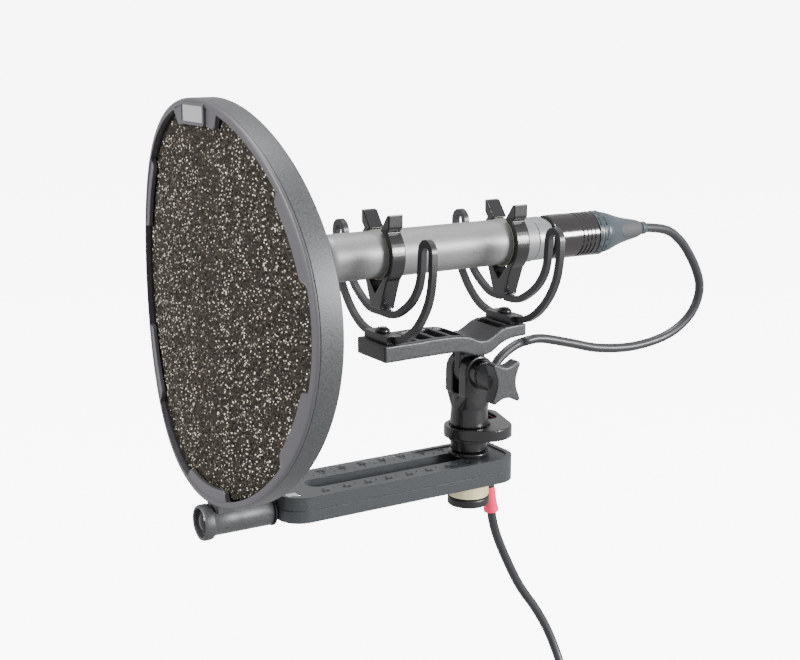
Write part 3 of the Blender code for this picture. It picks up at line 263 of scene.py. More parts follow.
# %% A helper for grained finishes
def grained(name, colour, roughness, metallic=0.0, grain=2600.0, depth=0.00003, drift=0.12, spread=0.08,
            coat=0.0, stretch=(1.0, 1.0, 1.0), speck=False):
    """Principled finish with a bump grain, a drift of tone (or specks of it), and roughness by the grain."""
    made = bpy.data.materials.new(name)
    made.use_nodes = True
    nodes, links = made.node_tree.nodes, made.node_tree.links
    shader = nodes["Principled BSDF"]
    shader.inputs["Metallic"].default_value = metallic
    shader.inputs["Coat Weight"].default_value = coat
    shader.inputs["Coat Roughness"].default_value = 0.15
    place = nodes.new("ShaderNodeTexCoord")
    mapping = nodes.new("ShaderNodeMapping")
    mapping.inputs["Scale"].default_value = stretch
    links.new(place.outputs["Object"], mapping.inputs["Vector"])
    fine = nodes.new("ShaderNodeTexNoise")
    fine.inputs["Scale"].default_value = grain
    fine.inputs["Detail"].default_value = 3.0
    slow = nodes.new("ShaderNodeTexNoise")
    slow.inputs["Scale"].default_value = 55.0
    slow.inputs["Detail"].default_value = 2.0
    for texture in (fine, slow):
        links.new(mapping.outputs["Vector"], texture.inputs["Vector"])
    tone = nodes.new("ShaderNodeMix")
    tone.data_type = "RGBA"
    tone.inputs["A"].default_value = (*[c * (1 - drift) for c in colour], 1.0)
    tone.inputs["B"].default_value = (*[min(1.0, c * (1 + drift)) for c in colour], 1.0)
    links.new((fine if speck else slow).outputs["Fac"], tone.inputs["Factor"])
    links.new(tone.outputs["Result"], shader.inputs["Base Color"])
    gloss = nodes.new("ShaderNodeMapRange")
    gloss.inputs["To Min"].default_value = max(0.03, roughness - spread)
    gloss.inputs["To Max"].default_value = roughness + spread
    links.new(fine.outputs["Fac"], gloss.inputs["Value"])
    links.new(gloss.outputs["Result"], shader.inputs["Roughness"])
    bump = nodes.new("ShaderNodeBump")
    bump.inputs["Strength"].default_value = 0.6
    bump.inputs["Distance"].default_value = depth
    links.new(fine.outputs["Fac"], bump.inputs["Height"])
    links.new(bump.outputs["Normal"], shader.inputs["Normal"])
    return made


# %% The object's finishes
frame_grey = grained("frame_grey", (0.062, 0.064, 0.066), 0.46, 0.35, grain=1500, depth=0.00007, drift=0.7,
                     speck=True)
bezel_grey = grained("bezel_grey", (0.058, 0.055, 0.062), 0.45, grain=2200, depth=0.00005, drift=0.25,
                     speck=True)
arm_black = grained("arm_black", (0.034, 0.038, 0.042), 0.34, grain=1500, depth=0.00007, drift=0.7,
                    speck=True)
# Painted highlight: the seam's band is lighter than the arm's black, for the light that the seam between the halves
# catches.
seam_highlight_grey = grained("seam_highlight_grey", (0.060, 0.064, 0.068), 0.5, grain=2300, depth=0.00005, drift=0.15)
speckled = grained("speckled_black", (0.028, 0.030, 0.032), 0.40, grain=1400, depth=0.00010, drift=0.8,
                   spread=0.14, speck=True)
gloss_black = grained("gloss_black", (0.011, 0.011, 0.012), 0.27, grain=1300, depth=0.000003, drift=0.2,
                      coat=0.2)
lock_black = grained("lock_black", (0.010, 0.010, 0.011), 0.40, grain=1800, depth=0.00008, drift=0.2)
lyre_black = grained("lyre_black", (0.021, 0.021, 0.024), 0.33, grain=1600, depth=0.00004, drift=0.15)
mic_grey = grained("mic_grey", (0.215, 0.222, 0.217), 0.46, 0.35, grain=1700, depth=0.00005, drift=0.35,
                   speck=True)
band_grey = grained("band_grey", (0.26, 0.27, 0.275), 0.34, 0.5, grain=3000, depth=0.00003, drift=0.05)
black_chrome = grained("black_chrome", (0.115, 0.108, 0.108), 0.12, 1.0, grain=1500, depth=0.000004, drift=0.1)
boot_grey = grained("boot_grey", (0.042, 0.055, 0.065), 0.30, grain=2400, depth=0.00002, drift=0.08)
inlay_grey = grained("inlay_grey", (0.052, 0.052, 0.056), 0.62, grain=2400, depth=0.00006, drift=0.08)
bright_metal = grained("bright_metal", (0.62, 0.62, 0.63), 0.20, 1.0, grain=2400, depth=0.00001, drift=0.04)
badge_chrome = grained("badge_chrome", (0.80, 0.80, 0.82), 0.12, 1.0, grain=500, depth=0.00002, drift=0.04)
bolt_black = grained("bolt_black", (0.004, 0.004, 0.004), 0.16, grain=1300, depth=0.000004, drift=0.2)
soft_red = grained("soft_red", (1.0, 0.020, 0.100), 0.42, grain=2000, depth=0.00003, drift=0.08)
# On the clip's liner, dark_red is painted shade: red rubber darkened to the tone it shows in the shadow of the
# clip's slot.
dark_red = grained("dark_red", (0.10, 0.006, 0.010), 0.45, grain=2000, depth=0.00003, drift=0.1)
pad_pale = grained("pad_pale", (0.34, 0.31, 0.24), 0.85, grain=2600, depth=0.0001, drift=0.1)
brass = grained("straw_brass", (1.0, 0.82, 0.55), 0.42, 0.3, grain=900, depth=0.00004, drift=0.22,
                stretch=(1.0, 1.0, 0.05))
print("finishes", len(bpy.data.materials))

# %% [markdown]
# The lead's jacket is soft plastic. Its grain follows the cord and not the room, so it reads the tube's own UV
# map, whose U is the distance along the cord.

# %% The lead's jacket
def cord_jacket(name, colour):
    made = bpy.data.materials.new(name)
    made.use_nodes = True
    nodes, links = made.node_tree.nodes, made.node_tree.links
    shader = nodes["Principled BSDF"]
    shader.inputs["Coat Weight"].default_value = 0.1
    place = nodes.new("ShaderNodeUVMap")
    place.uv_map = "along"
    stretch = nodes.new("ShaderNodeMapping")
    stretch.inputs["Scale"].default_value = (260.0, 6.0, 1.0)
    links.new(place.outputs["UV"], stretch.inputs["Vector"])
    weave = nodes.new("ShaderNodeTexNoise")
    weave.inputs["Scale"].default_value = 1.0
    weave.inputs["Detail"].default_value = 3.0
    links.new(stretch.outputs["Vector"], weave.inputs["Vector"])
    ramp = nodes.new("ShaderNodeValToRGB")
    ramp.color_ramp.elements[0].color = (*[c * 0.85 for c in colour], 1.0)
    ramp.color_ramp.elements[1].color = (*[c * 1.15 for c in colour], 1.0)
    links.new(weave.outputs["Fac"], ramp.inputs["Fac"])
    links.new(ramp.outputs["Color"], shader.inputs["Base Color"])
    gloss = nodes.new("ShaderNodeMapRange")
    gloss.inputs["To Min"].default_value = 0.36
    gloss.inputs["To Max"].default_value = 0.52
    links.new(weave.outputs["Fac"], gloss.inputs["Value"])
    links.new(gloss.outputs["Result"], shader.inputs["Roughness"])
    bump = nodes.new("ShaderNodeBump")
    bump.inputs["Strength"].default_value = 0.25
    bump.inputs["Distance"].default_value = 0.0001
    links.new(weave.outputs["Fac"], bump.inputs["Height"])
    links.new(bump.outputs["Normal"], shader.inputs["Normal"])
    return made


jacket = cord_jacket("lead_jacket", (0.020, 0.0215, 0.0245))
for piece in (lead_head, lead_neck, lead_tail):
    piece.data.materials.append(jacket)
print("jacket on", [piece.name for piece in (lead_head, lead_neck, lead_tail)])

# %% [markdown]
# ## From plain solids to finished pieces
#
# The model's solids have the right shapes, but their edges are knife-sharp and their faces are loose triangles.
# A real moulding has a small radius on every edge, and that radius is what catches the light. The helper copies
# a solid's mesh, joins its triangles into whole faces, rounds the edges with a Bevel and sets smooth shading.

# %% Helpers that finish a solid
def settled(obj):
    """The object with its modifiers made part of its mesh."""
    graph = bpy.context.evaluated_depsgraph_get()
    mesh = bpy.data.meshes.new_from_object(obj.evaluated_get(graph))
    obj.modifiers.clear()
    obj.data = mesh
    return obj


def shaded(obj, angle=34):
    """Smooth shading that keeps flat faces flat and corners sharp."""
    obj.data.shade_smooth()
    obj.data.set_sharp_from_angle(angle=math.radians(angle))
    weigh = obj.modifiers.new("even", "WEIGHTED_NORMAL")
    weigh.keep_sharp = True
    return settled(obj)


def placed(name, shape, finish):
    """A new object from this bmesh."""
    bmesh.ops.recalc_face_normals(shape, faces=shape.faces)
    mesh = bpy.data.meshes.new(name)
    shape.to_mesh(mesh)
    shape.free()
    mesh.materials.append(finish)
    obj = bpy.data.objects.new(name, mesh)
    bpy.context.scene.collection.objects.link(obj)
    return obj


def skinned(shape, rings):
    """Faces from each ring of corners to the next one."""
    for ring, after in zip(rings, rings[1:]):
        for k in range(len(ring)):
            j = (k + 1) % len(ring)
            shape.faces.new((ring[k], ring[j], after[j], after[k]))


def merged_copy(node, flat):
    """This solid's mesh as a bmesh, with its loose triangles joined into whole faces."""
    shape = bmesh.new()
    shape.from_mesh(frame["nodes"][node].data)
    bmesh.ops.remove_doubles(shape, verts=shape.verts, dist=0.000002)
    if flat:
        bmesh.ops.dissolve_limit(shape, angle_limit=math.radians(flat), verts=shape.verts, edges=shape.edges)
    return shape


def finished(node, finish, edge=0.0003, flat=1.5, segments=2, corner=31):
    """A copy of this solid with rounded edges, in its place."""
    obj = placed("finished_" + node, merged_copy(node, flat), finish)
    if edge:
        bevel = obj.modifiers.new("edges", "BEVEL")
        bevel.width = edge
        bevel.segments = segments
        bevel.limit_method = "ANGLE"
        bevel.angle_limit = math.radians(corner)
        bevel.use_clamp_overlap = True
        settled(obj)
    shaded(obj)
    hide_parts(node)
    return obj


# %% [markdown]
# Some mouldings have no sharp edge at all: the swivel, its knob, the clips and the bar. A bevel can't round
# corners where many short edges meet, so these are remeshed into a fine even skin and relaxed a little, which
# gives every corner the soft fillet that a moulding tool leaves.

# %% Soft mouldings
FLARE_R, FLARE_BELOW, CHEEKS_BELOW, CHEEK_HALF_Y = 0.0082, 0.0165, 0.0098, 0.0068


def flare(shape):
    """Adds the neck that widens from the round barrel to the square foot of its two cheeks."""
    tilt_z = middle("tilt_nut").z
    half_x = low("tilt_knob").x - 0.0056
    ring = [(FLARE_R * math.cos(math.radians(a)), FLARE_R * math.sin(math.radians(a)), tilt_z - FLARE_BELOW)
            for a in range(0, 360, 10)]
    foot = [(x, y, tilt_z - CHEEKS_BELOW) for x in (-half_x, half_x) for y in (-CHEEK_HALF_Y, CHEEK_HALF_Y)]
    added = [shape.verts.new(p) for p in ring + foot]
    bmesh.ops.convex_hull(shape, input=added)


def softened(node, finish, grain=0.0003, rounds=6):
    """A copy of this solid as a fine skin with every corner filleted."""
    shape = merged_copy(node, 0)
    if node == "swivel_barrel":
        flare(shape)
    obj = placed("soft_" + node, shape, finish)
    skin = obj.modifiers.new("skin", "REMESH")
    skin.mode = "VOXEL"
    skin.voxel_size = grain
    relax = obj.modifiers.new("relax", "SMOOTH")
    relax.factor = 0.5
    relax.iterations = rounds
    settled(obj)
    obj.data.shade_smooth()
    obj.data.materials.clear()
    obj.data.materials.append(finish)
    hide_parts(node)
    return obj


# %% [markdown]
# Round parts are turned, like on a lathe: a profile is spun about its axis. The profile lists distances along
# the axis and radii, so a groove or a lip is one more point, and the surface stays perfectly round.

# %% Turned parts
def turned(name, profile, finish, centre, axis="Y", steps=64):
    """Spins (distance along the axis, radius) points about an axis through centre; both ends are closed."""
    shape = bmesh.new()
    rings = []
    for along, radius in profile:
        ring = []
        for k in range(steps):
            t = 2 * math.pi * k / steps
            a, b = radius * math.cos(t), radius * math.sin(t)
            ring.append(shape.verts.new((a, along, b) if axis == "Y" else (a, b, along)))
        rings.append(ring)
    skinned(shape, rings)
    shape.faces.new(rings[0])
    shape.faces.new(list(reversed(rings[-1])))
    bmesh.ops.translate(shape, verts=shape.verts, vec=centre)
    return shaded(placed(name, shape, finish), 40)


def joined(name, objects):
    """One object from several, under this name."""
    shape = bmesh.new()
    for obj in objects:
        shape.from_mesh(obj.data)
    mesh = bpy.data.meshes.new(name)
    shape.to_mesh(mesh)
    shape.free()
    mesh.materials.append(objects[0].data.materials[0])
    mesh.shade_smooth()
    mesh.set_sharp_from_angle(angle=math.radians(40))
    for obj in objects:
        bpy.data.objects.remove(obj)
    made = bpy.data.objects.new(name, mesh)
    bpy.context.scene.collection.objects.link(made)
    return made


# %% [markdown]
# Most of the small parts need nothing more than one of those two ways, so two tables say which part gets which
# finish and how large its rounding is. Each finished piece then rides on the body that its solid belongs to.

# %% Finish the solids that ride on one body
ROUNDED = (
    ("clamp_stud", brass, 0.0002), ("slide_washer", gloss_black, 0.0002), ("slot_guide", gloss_black, 0.0002),
    # The clip's liner gets dark_red, painted shade for red rubber lying in the clip's shadow.
    ("clip_liner", dark_red, 0.0002), ("red_boot", soft_red, 0.0001), ("arm_badge", badge_chrome, 0.0001),
    ("arm_screw_1", bright_metal, 0.0002), ("arm_screw_2", bright_metal, 0.0002),
    ("arm_screw_3", bright_metal, 0.0002), ("arm_screw_4", bright_metal, 0.0002),
    ("hinge_spacer", gloss_black, 0.0002), ("tilt_nut", gloss_black, 0.0002), ("tilt_screw", bright_metal, 0.0002),
    ("lyre_screw_front", gloss_black, 0.0003), ("lyre_screw_rear", gloss_black, 0.0003),
    ("clip_liner_front", pad_pale, 0.0), ("clip_liner_rear", pad_pale, 0.0),
    ("clip_rivet_front", bright_metal, 0.0002), ("clip_rivet_rear", bright_metal, 0.0002),
    ("mic_rear_band", band_grey, 0.0002), ("latch_button", black_chrome, 0.0003),
    ("coil_tie", dark_red, 0.0003), ("lead_plug", black_chrome, 0.0003),
)
SOFT = (
    ("swivel_barrel", gloss_black, 0.00030, 16), ("tilt_knob", speckled, 0.00024, 14),
    ("cable_clip", gloss_black, 0.00028, 12),
    ("mic_clip_front", gloss_black, 0.00024, 10), ("mic_clip_rear", gloss_black, 0.00024, 10),
    ("cradle_bar", speckled, 0.00036, 6),
)
pieces = {}
for node, finish, edge in ROUNDED:
    pieces[node] = finished(node, finish, edge)
for node, finish, grain, rounds in SOFT:
    pieces[node] = softened(node, finish, grain, rounds)
for node, piece in pieces.items():
    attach(piece, body_of[node])
print("finished", len(pieces), "solids, faces", {n: len(pieces[n].data.polygons) for n, *_ in SOFT})

# %% [markdown]
# ## The arm
#
# The arm is moulded in two halves that meet along the middle of its side. Its outer edge is rounded more than
# anything else on it, so those edges are found by the way their walls face and get a bevel of their own.

# %% Arm halves
ARM_EDGE = 0.0013


def arm_half(node, up):
    shape = merged_copy(node, 1.5)
    shape.normal_update()
    level = high(node).z if up > 0 else low(node).z
    centre = middle(node)
    rim = []
    for edge in shape.edges:
        if len(edge.link_faces) != 2 or any(abs(v.co.z - level) > 0.00001 for v in edge.verts):
            continue
        wall = min(edge.link_faces, key=lambda f: abs(f.normal.z))
        halfway = (edge.verts[0].co + edge.verts[1].co) / 2 - centre
        if abs(wall.normal.z) < 0.2 and wall.normal.dot(Vector((halfway.x, halfway.y, 0))) > 0.004:
            rim.append(edge)
    print(node, "outer edges", len(rim))
    bmesh.ops.bevel(shape, geom=rim, offset=ARM_EDGE, segments=5, profile=0.5, affect="EDGES")
    obj = placed("moulded_" + node, shape, arm_black)
    edges = obj.modifiers.new("edges", "BEVEL")
    edges.width = 0.0002
    edges.segments = 2
    edges.limit_method = "ANGLE"
    edges.angle_limit = math.radians(40)
    shaded(settled(obj))
    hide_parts(node)
    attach(obj, "arm")
    return obj


for node, up in (("arm_upper_shell", 1), ("arm_lower_shell", -1)):
    print(node, len(arm_half(node, up).data.polygons))


# %% [markdown]
# Where the halves meet, the real arm shows a fine line that catches the light. A groove cut with a Boolean would
# leave slivers, so a thin band of painted highlight, a tone lighter than the arm, is laid in the gap instead, just
# inside the arm's outline.

# %% The seam between the halves
def rounded_box(half_x, y0, y1, corner, steps=10):
    """Outline of a rectangle with round corners, seen from above."""
    outline = []
    for cx, cy, start in ((half_x - corner, y1 - corner, 0), (corner - half_x, y1 - corner, 90),
                          (corner - half_x, y0 + corner, 180), (half_x - corner, y0 + corner, 270)):
        for i in range(steps + 1):
            t = math.radians(start + 90 * i / steps)
            outline.append((cx + corner * math.cos(t), cy + corner * math.sin(t)))
    return outline


seam_z0, seam_z1 = high("arm_lower_shell").z, low("arm_upper_shell").z
arm_half_x, arm_y0, arm_y1 = high("arm_upper_shell").x, low("arm_upper_shell").y, high("arm_upper_shell").y
outer_line, inner_line = [rounded_box(arm_half_x - inset, arm_y0 + inset, arm_y1 - inset, corner)
                          for inset, corner in ((0.00012, 0.0099), (0.0012, 0.0088))]
seam_shape = bmesh.new()
loops = [[seam_shape.verts.new((x, y, z)) for x, y in line]
         for line, z in ((outer_line, seam_z0 - 0.0001), (outer_line, seam_z1 + 0.0001),
                         (inner_line, seam_z1 + 0.0001), (inner_line, seam_z0 - 0.0001))]
skinned(seam_shape, loops + loops[:1])
seam = shaded(placed("arm_seam", seam_shape, seam_highlight_grey))
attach(seam, "arm")
print("seam faces", len(seam.data.polygons))

# %% [markdown]
# ## The filter's frame
#
# The frame is a hoop with a bezel in front. It isn't flat: it is bent about an upright line, so its sides sweep
# back. The bezel has six tabs that hold the foam. All of that is one rule: an inner radius for each direction,
# a small profile carried round the circle, and a last step that moves each point back by its distance sideways.

# %% The bezel's rule
FRAME_R = high("front_bezel").x
BOW = 1.47
TABS = ((90.0, 14.8, 0.0068), (27.5, 12.8, 0.0045), (-27.5, 12.8, 0.0045), (-90.0, 14.2, 0.0045),
        (-150.5, 12.8, 0.0045), (150.5, 12.8, 0.0045))
RIM_WIDTH = 0.0027
BEZEL_T = 0.0013
TAB_CORNER = 2.6  # degrees over which a tab's corner rises
TAB_STEP = 0.0004  # how far the tabs lie behind the rim
FULL_STEP_AT = 0.0012
bezel_front = low("front_bezel").y
frame_centre_z = middle("front_bezel").z


def tab_reach(degrees):
    """How far the bezel's edge reaches inwards here, with round corners on each tab."""
    reach = 0.0
    for direction, half, depth in TABS:
        off = half - abs((degrees - direction + 180.0) % 360.0 - 180.0)
        rise = min(1.0, max(0.0, off / TAB_CORNER))
        reach += depth * (1 - (1 - rise) ** 3.2) ** 0.6
    return reach


def carried_round(name, section, finish, steps=480):
    """A ring: section(degrees) gives the closed profile as (radius, depth) points at each direction."""
    shape = bmesh.new()
    rings = []
    for i in range(steps):
        degrees = 360.0 * i / steps
        c, d = math.cos(math.radians(degrees)), math.sin(math.radians(degrees))
        rings.append([shape.verts.new((r * c, bezel_front + y + BOW * (r * c) ** 2, frame_centre_z + r * d))
                      for r, y in section(degrees)])
    skinned(shape, rings + rings[:1])
    return shaded(placed(name, shape, finish), 30)


def bezel_section(degrees):
    inner = FRAME_R - RIM_WIDTH
    tab = tab_reach(degrees)
    edge = inner - tab
    step = TAB_STEP * min(1.0, tab / FULL_STEP_AT)
    return ((FRAME_R, BEZEL_T), (FRAME_R, 0.0008), (FRAME_R - 0.0002, 0.0003), (FRAME_R - 0.0007, 0.0),
            (inner + 0.0004, 0.0), (inner + 0.0001, step + 0.0001), (inner - 0.0001, step + 0.0001),
            (min(inner - 0.0002, edge + 0.0006), step), (edge + 0.0001, step + 0.0003), (edge, step + 0.0008),
            (edge, 0.0022), (inner + 0.0005, 0.0022), (inner + 0.0005, BEZEL_T))


bezel = carried_round("bezel_with_tabs", bezel_section, bezel_grey)
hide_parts("front_bezel")
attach(bezel, "filter")
print("bezel faces", len(bezel.data.polygons))


# %% Rear ring, by the same rule
REAR_T, REAR_WIDTH = 0.0010, 0.0050
rear_front = low("rear_ring").y - bezel_front
rear_r = high("rear_ring").x


def rear_section(degrees):
    edge = rear_r - REAR_WIDTH - tab_reach(180.0 - degrees)
    back = rear_front + REAR_T
    return ((rear_r, rear_front), (rear_r, back), (edge + 0.0003, back), (edge, back - 0.0003),
            (edge, rear_front))


rear = carried_round("rear_ring_with_tabs", rear_section, frame_grey)
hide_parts("rear_ring")
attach(rear, "filter")
print("rear ring faces", len(rear.data.polygons))

# %% [markdown]
# The badge at the top is a small bright window in a raised frame. Whatever name the real one carries is left
# out, and a plain chrome plate takes its place.

# %% Badge
plate_z = middle("frame_badge").z - 0.0006


def badge_frame(name, half_w, half_h, border, y_front, y_back, finish):
    """Rectangular frame with round corners that stands on the bezel."""
    shape = bmesh.new()
    outer = rounded_box(half_w, -half_h, half_h, 0.0013, 5)
    inner = rounded_box(half_w - border, border - half_h, half_h - border, 0.0006, 5)
    lines = ((outer, y_back), (outer, y_front + 0.0002), ([(x * 0.985, z * 0.985) for x, z in outer], y_front),
             (inner, y_front), (inner, y_back))
    skinned(shape, [[shape.verts.new((x, y + BOW * x * x, plate_z + z)) for x, z in line]
                    for line, y in lines])
    return shaded(placed(name, shape, finish))


surround = badge_frame("badge_surround", 0.0108, 0.0043, 0.0011, bezel_front - 0.0007, bezel_front + 0.0012,
                       bezel_grey)
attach(surround, "filter")
plate_shape = bmesh.new()
plate_line = rounded_box(0.0098, -0.0033, 0.0033, 0.0006, 5)
plate_steps = ((1.0, bezel_front + 0.0008), (1.0, bezel_front - 0.0001), (0.93, bezel_front - 0.0004))
plate_rows = [[plate_shape.verts.new((x * k, y + BOW * x * x, plate_z + z * k)) for x, z in plate_line]
              for k, y in plate_steps]
skinned(plate_shape, plate_rows)
plate_shape.faces.new(plate_rows[0])
plate_shape.faces.new(plate_rows[-1])
plate = shaded(placed("badge_plate", plate_shape, badge_chrome))
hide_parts("frame_badge")
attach(plate, "filter")
print("badge", plate.name, "in", surround.name)

# %% [markdown]
# The hoop behind the bezel is a band with rounded edges, carried round by the same rule. Below it sits the sleeve
# that the whole frame swings on: a turned tube with a flanged, hollow front. A small web joins the two.

# %% Hoop, with its hinge sleeve
def hoop_section(degrees):
    front, back = BEZEL_T + 0.0002, 0.0113
    return ((FRAME_R - 0.0024, front + 0.0010), (FRAME_R - 0.0003, front), (FRAME_R - 0.0001, front + 0.0001),
            (FRAME_R, front + 0.0003), (FRAME_R, back - 0.0012), (FRAME_R - 0.0003, back - 0.0004),
            (FRAME_R - 0.0010, back), (FRAME_R - 0.0024, back))


hinge_z, sleeve_front = middle("hinge_bolt").z, low("hoop").y
sleeve_length = low("hinge_spacer").y - 0.0003 - sleeve_front
ring_part = carried_round("hoop_ring", hoop_section, frame_grey)
SLEEVE_PROFILE = ((0.0024, 0.0044), (0.0024, 0.0058), (0.0006, 0.0058), (0.0002, 0.0061), (0.0, 0.0066),
                  (0.0003, 0.0071), (0.0010, 0.0074), (0.0036, 0.0074), (0.0043, 0.0072), (0.0047, 0.0067),
                  (0.0050, 0.0061), (0.0150, 0.0062), (sleeve_length - 0.0003, 0.0063),
                  (sleeve_length, 0.0060), (sleeve_length, 0.0040))
sleeve = turned("hinge_sleeve", SLEEVE_PROFILE, frame_grey, (0, sleeve_front, hinge_z), steps=48)
web_shape = bmesh.new()
bmesh.ops.create_cube(web_shape, size=1.0)
bmesh.ops.scale(web_shape, verts=web_shape.verts, vec=(0.0100, 0.0084, 0.0080))
bmesh.ops.translate(web_shape, verts=web_shape.verts,
                    vec=(0, bezel_front + 0.0069, frame_centre_z - FRAME_R - 0.0012))
bmesh.ops.bevel(web_shape, geom=list(web_shape.edges), offset=0.0008, segments=3, affect="EDGES")
hoop = joined("hoop_and_sleeve", [ring_part, sleeve, placed("hinge_web", web_shape, frame_grey)])
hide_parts("hoop")
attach(hoop, "filter")
print("hoop and sleeve faces", len(hoop.data.polygons))

# %% [markdown]
# The bolt's head is a polished dome sunk in the sleeve's flange, and a bright washer parts the sleeve from the arm.
# Both are turned, because a dome from a profile has no facets where the light runs over it.

# %% Hinge bolt and washer
SHANK_R = 0.0028
bolt_front, bolt_end = low("hinge_bolt").y, high("hinge_bolt").y
head_r = high("hinge_bolt").x
BOLT_PROFILE = ((0.0, 0.0004), (0.0001, 0.0014), (0.0003, 0.0026), (0.0008, 0.0036), (0.0015, head_r),
                (0.0021, head_r), (0.0022, SHANK_R), (bolt_end - bolt_front, SHANK_R))
bolt = turned("domed_hinge_bolt", BOLT_PROFILE, bolt_black, (0, bolt_front, hinge_z), steps=40)
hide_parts("hinge_bolt")
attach(bolt, body_of["hinge_bolt"])
WASHER_BORE = 0.0030
washer_front, washer_r = low("hinge_washer").y, high("hinge_washer").x
washer_t = high("hinge_washer").y - washer_front
WASHER_PROFILE = ((0.0, WASHER_BORE), (0.0, washer_r - 0.0009), (0.0002, washer_r - 0.0003), (0.0005, washer_r),
                  (washer_t, washer_r), (washer_t, WASHER_BORE))
washer = turned("chrome_hinge_washer", WASHER_PROFILE, bright_metal, (0, washer_front, hinge_z), steps=40)
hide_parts("hinge_washer")
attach(washer, body_of["hinge_washer"])
print("hinge", bolt.name, washer.name)

# %% [markdown]
# ## The microphone and its plug
#
# The microphone is a plain satin tube, and the plug behind it is a black chromed shell, a slotted ring and a
# soft boot. They are all turned. The joint between the tube's front and its body doesn't show on a real one, so
# one profile covers both.

# %% Microphone
mic_front, mic_rear = low("mic_capsule").y, high("mic_body").y
mic_r = high("mic_body").x
mic_length = mic_rear - mic_front
mic_nose = [(0.0012, 0.0004), (0.0012, mic_r - 0.0032), (0.0, mic_r - 0.0026), (0.0006, mic_r - 0.0010),
            (0.0020, mic_r - 0.0002), (0.0040, mic_r)]
mic_side = [(mic_length * k / 8, mic_r) for k in range(1, 8)]
mic_tail = [(mic_length - 0.0004, mic_r), (mic_length, mic_r - 0.0004), (mic_length, 0.0004)]
tube_part = turned("microphone_tube", mic_nose + mic_side + mic_tail, mic_grey, (0, mic_front, mic_z), steps=96)
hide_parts("mic_capsule", "mic_body")
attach(tube_part, "microphone")
# The pin hole is painted shade: a short gloss-black plug, a hair proud of the tube, stands in for the shadow inside
# the hole.
HOLE_AT = math.radians(24)
hole_at = Vector((mic_r * math.cos(HOLE_AT), mic_rear - 0.0105, mic_z + mic_r * math.sin(HOLE_AT)))
PIN_PROFILE = ((-0.0004, 0.0001), (-0.0004, 0.0006), (0.00002, 0.0006), (0.00002, 0.0001))
hole_shade = turned("microphone_pin_hole", PIN_PROFILE, gloss_black, (0, 0, 0), axis="Z", steps=20)
hole_shade.data.transform(Matrix.Translation(hole_at) @ Matrix.Rotation(math.pi / 2 - HOLE_AT, 4, "Y"))
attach(hole_shade, "microphone")
print("microphone", round(mic_length, 4), "m long")

# %% [markdown]
# The plug's shell is polished to a dark mirror, with four grooves for the fingers near its rear end. The coloured
# ring behind it is split by one groove. Both are profiles again: a groove is four points of a list.

# %% Plug shell and ring
shell_front, shell_rear = low("connector_shell").y, high("connector_shell").y
shell_r = high("connector_shell").x
shell_length = shell_rear - shell_front
grooves = []
for back in (0.0094, 0.0072, 0.0050, 0.0028):
    at, floor_r = shell_length - back, shell_r - 0.0004
    grooves += [(at - 0.0006, shell_r), (at - 0.0003, floor_r), (at + 0.0003, floor_r), (at + 0.0006, shell_r)]
shell_nose = [(0.0, 0.0004), (0.0, shell_r - 0.0006), (0.0003, shell_r - 0.0001), (0.0008, shell_r),
              (0.0030, shell_r), (0.0110, shell_r)]
shell_tail = [(shell_length - 0.0002, shell_r), (shell_length, shell_r - 0.0003), (shell_length, 0.0004)]
shell = turned("plug_shell", shell_nose + grooves + shell_tail, black_chrome, (0, shell_front, mic_z), steps=80)
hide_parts("connector_shell")
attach(shell, "microphone")
nut_front, nut_r = low("connector_nut").y, high("connector_nut").x
nut_length = high("connector_nut").y - nut_front
half = nut_length / 2
NUT_PROFILE = ((0.0, 0.0004), (0.0, nut_r - 0.0006), (0.0004, nut_r), (half - 0.0003, nut_r),
               (half - 0.0001, nut_r - 0.0003), (half + 0.0001, nut_r - 0.0003), (half + 0.0003, nut_r),
               (nut_length - 0.0005, nut_r), (nut_length, nut_r - 0.0004), (nut_length, 0.0004))
nut = turned("plug_ring", NUT_PROFILE, boot_grey, (0, nut_front, mic_z), steps=80)
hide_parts("connector_nut")
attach(nut, "microphone")
print("plug shell", round(shell_length, 4), "m, ring", round(nut_length, 4), "m")

# %% [markdown]
# The boot narrows to the lead in a soft curve and carries an oval inlay on each side. The inlays are thin skins
# that follow the boot's own profile a fifth of a millimetre above it, so they never sink in or float off.

# %% Boot, with soft inlays
boot_front, boot_r = low("connector_boot").y, high("connector_boot").x
boot_length = high("connector_boot").y - boot_front
BOOT_PROFILE = ((0.0, boot_r - 0.0004), (0.0008, boot_r - 0.0001), (0.0040, boot_r - 0.0007),
                (0.0080, boot_r - 0.0021), (0.0120, boot_r - 0.0033), (0.0160, boot_r - 0.0042),
                (0.0200, boot_r - 0.0049), (0.0232, boot_r - 0.0056), (0.0244, boot_r - 0.0061),
                (0.0251, boot_r - 0.0070), (0.0255, 0.0031), (0.0262, 0.0030),
                (boot_length - 0.0006, 0.0030), (boot_length, 0.0025))
INLAY_START, INLAY_END, INLAY_SPREAD, INLAY_LIFT = 0.0088, 0.0244, 52.0, 0.00022


def boot_radius(y):
    for (y0, r0), (y1, r1) in zip(BOOT_PROFILE, BOOT_PROFILE[1:]):
        if y <= y1:
            return r0 + (r1 - r0) * (y - y0) / (y1 - y0)
    return BOOT_PROFILE[-1][1]


boot = turned("plug_boot", [(0.0, 0.0004)] + list(BOOT_PROFILE) + [(boot_length, 0.0004)], boot_grey,
              (0, boot_front, mic_z), steps=80)
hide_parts("connector_boot")
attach(boot, "microphone")

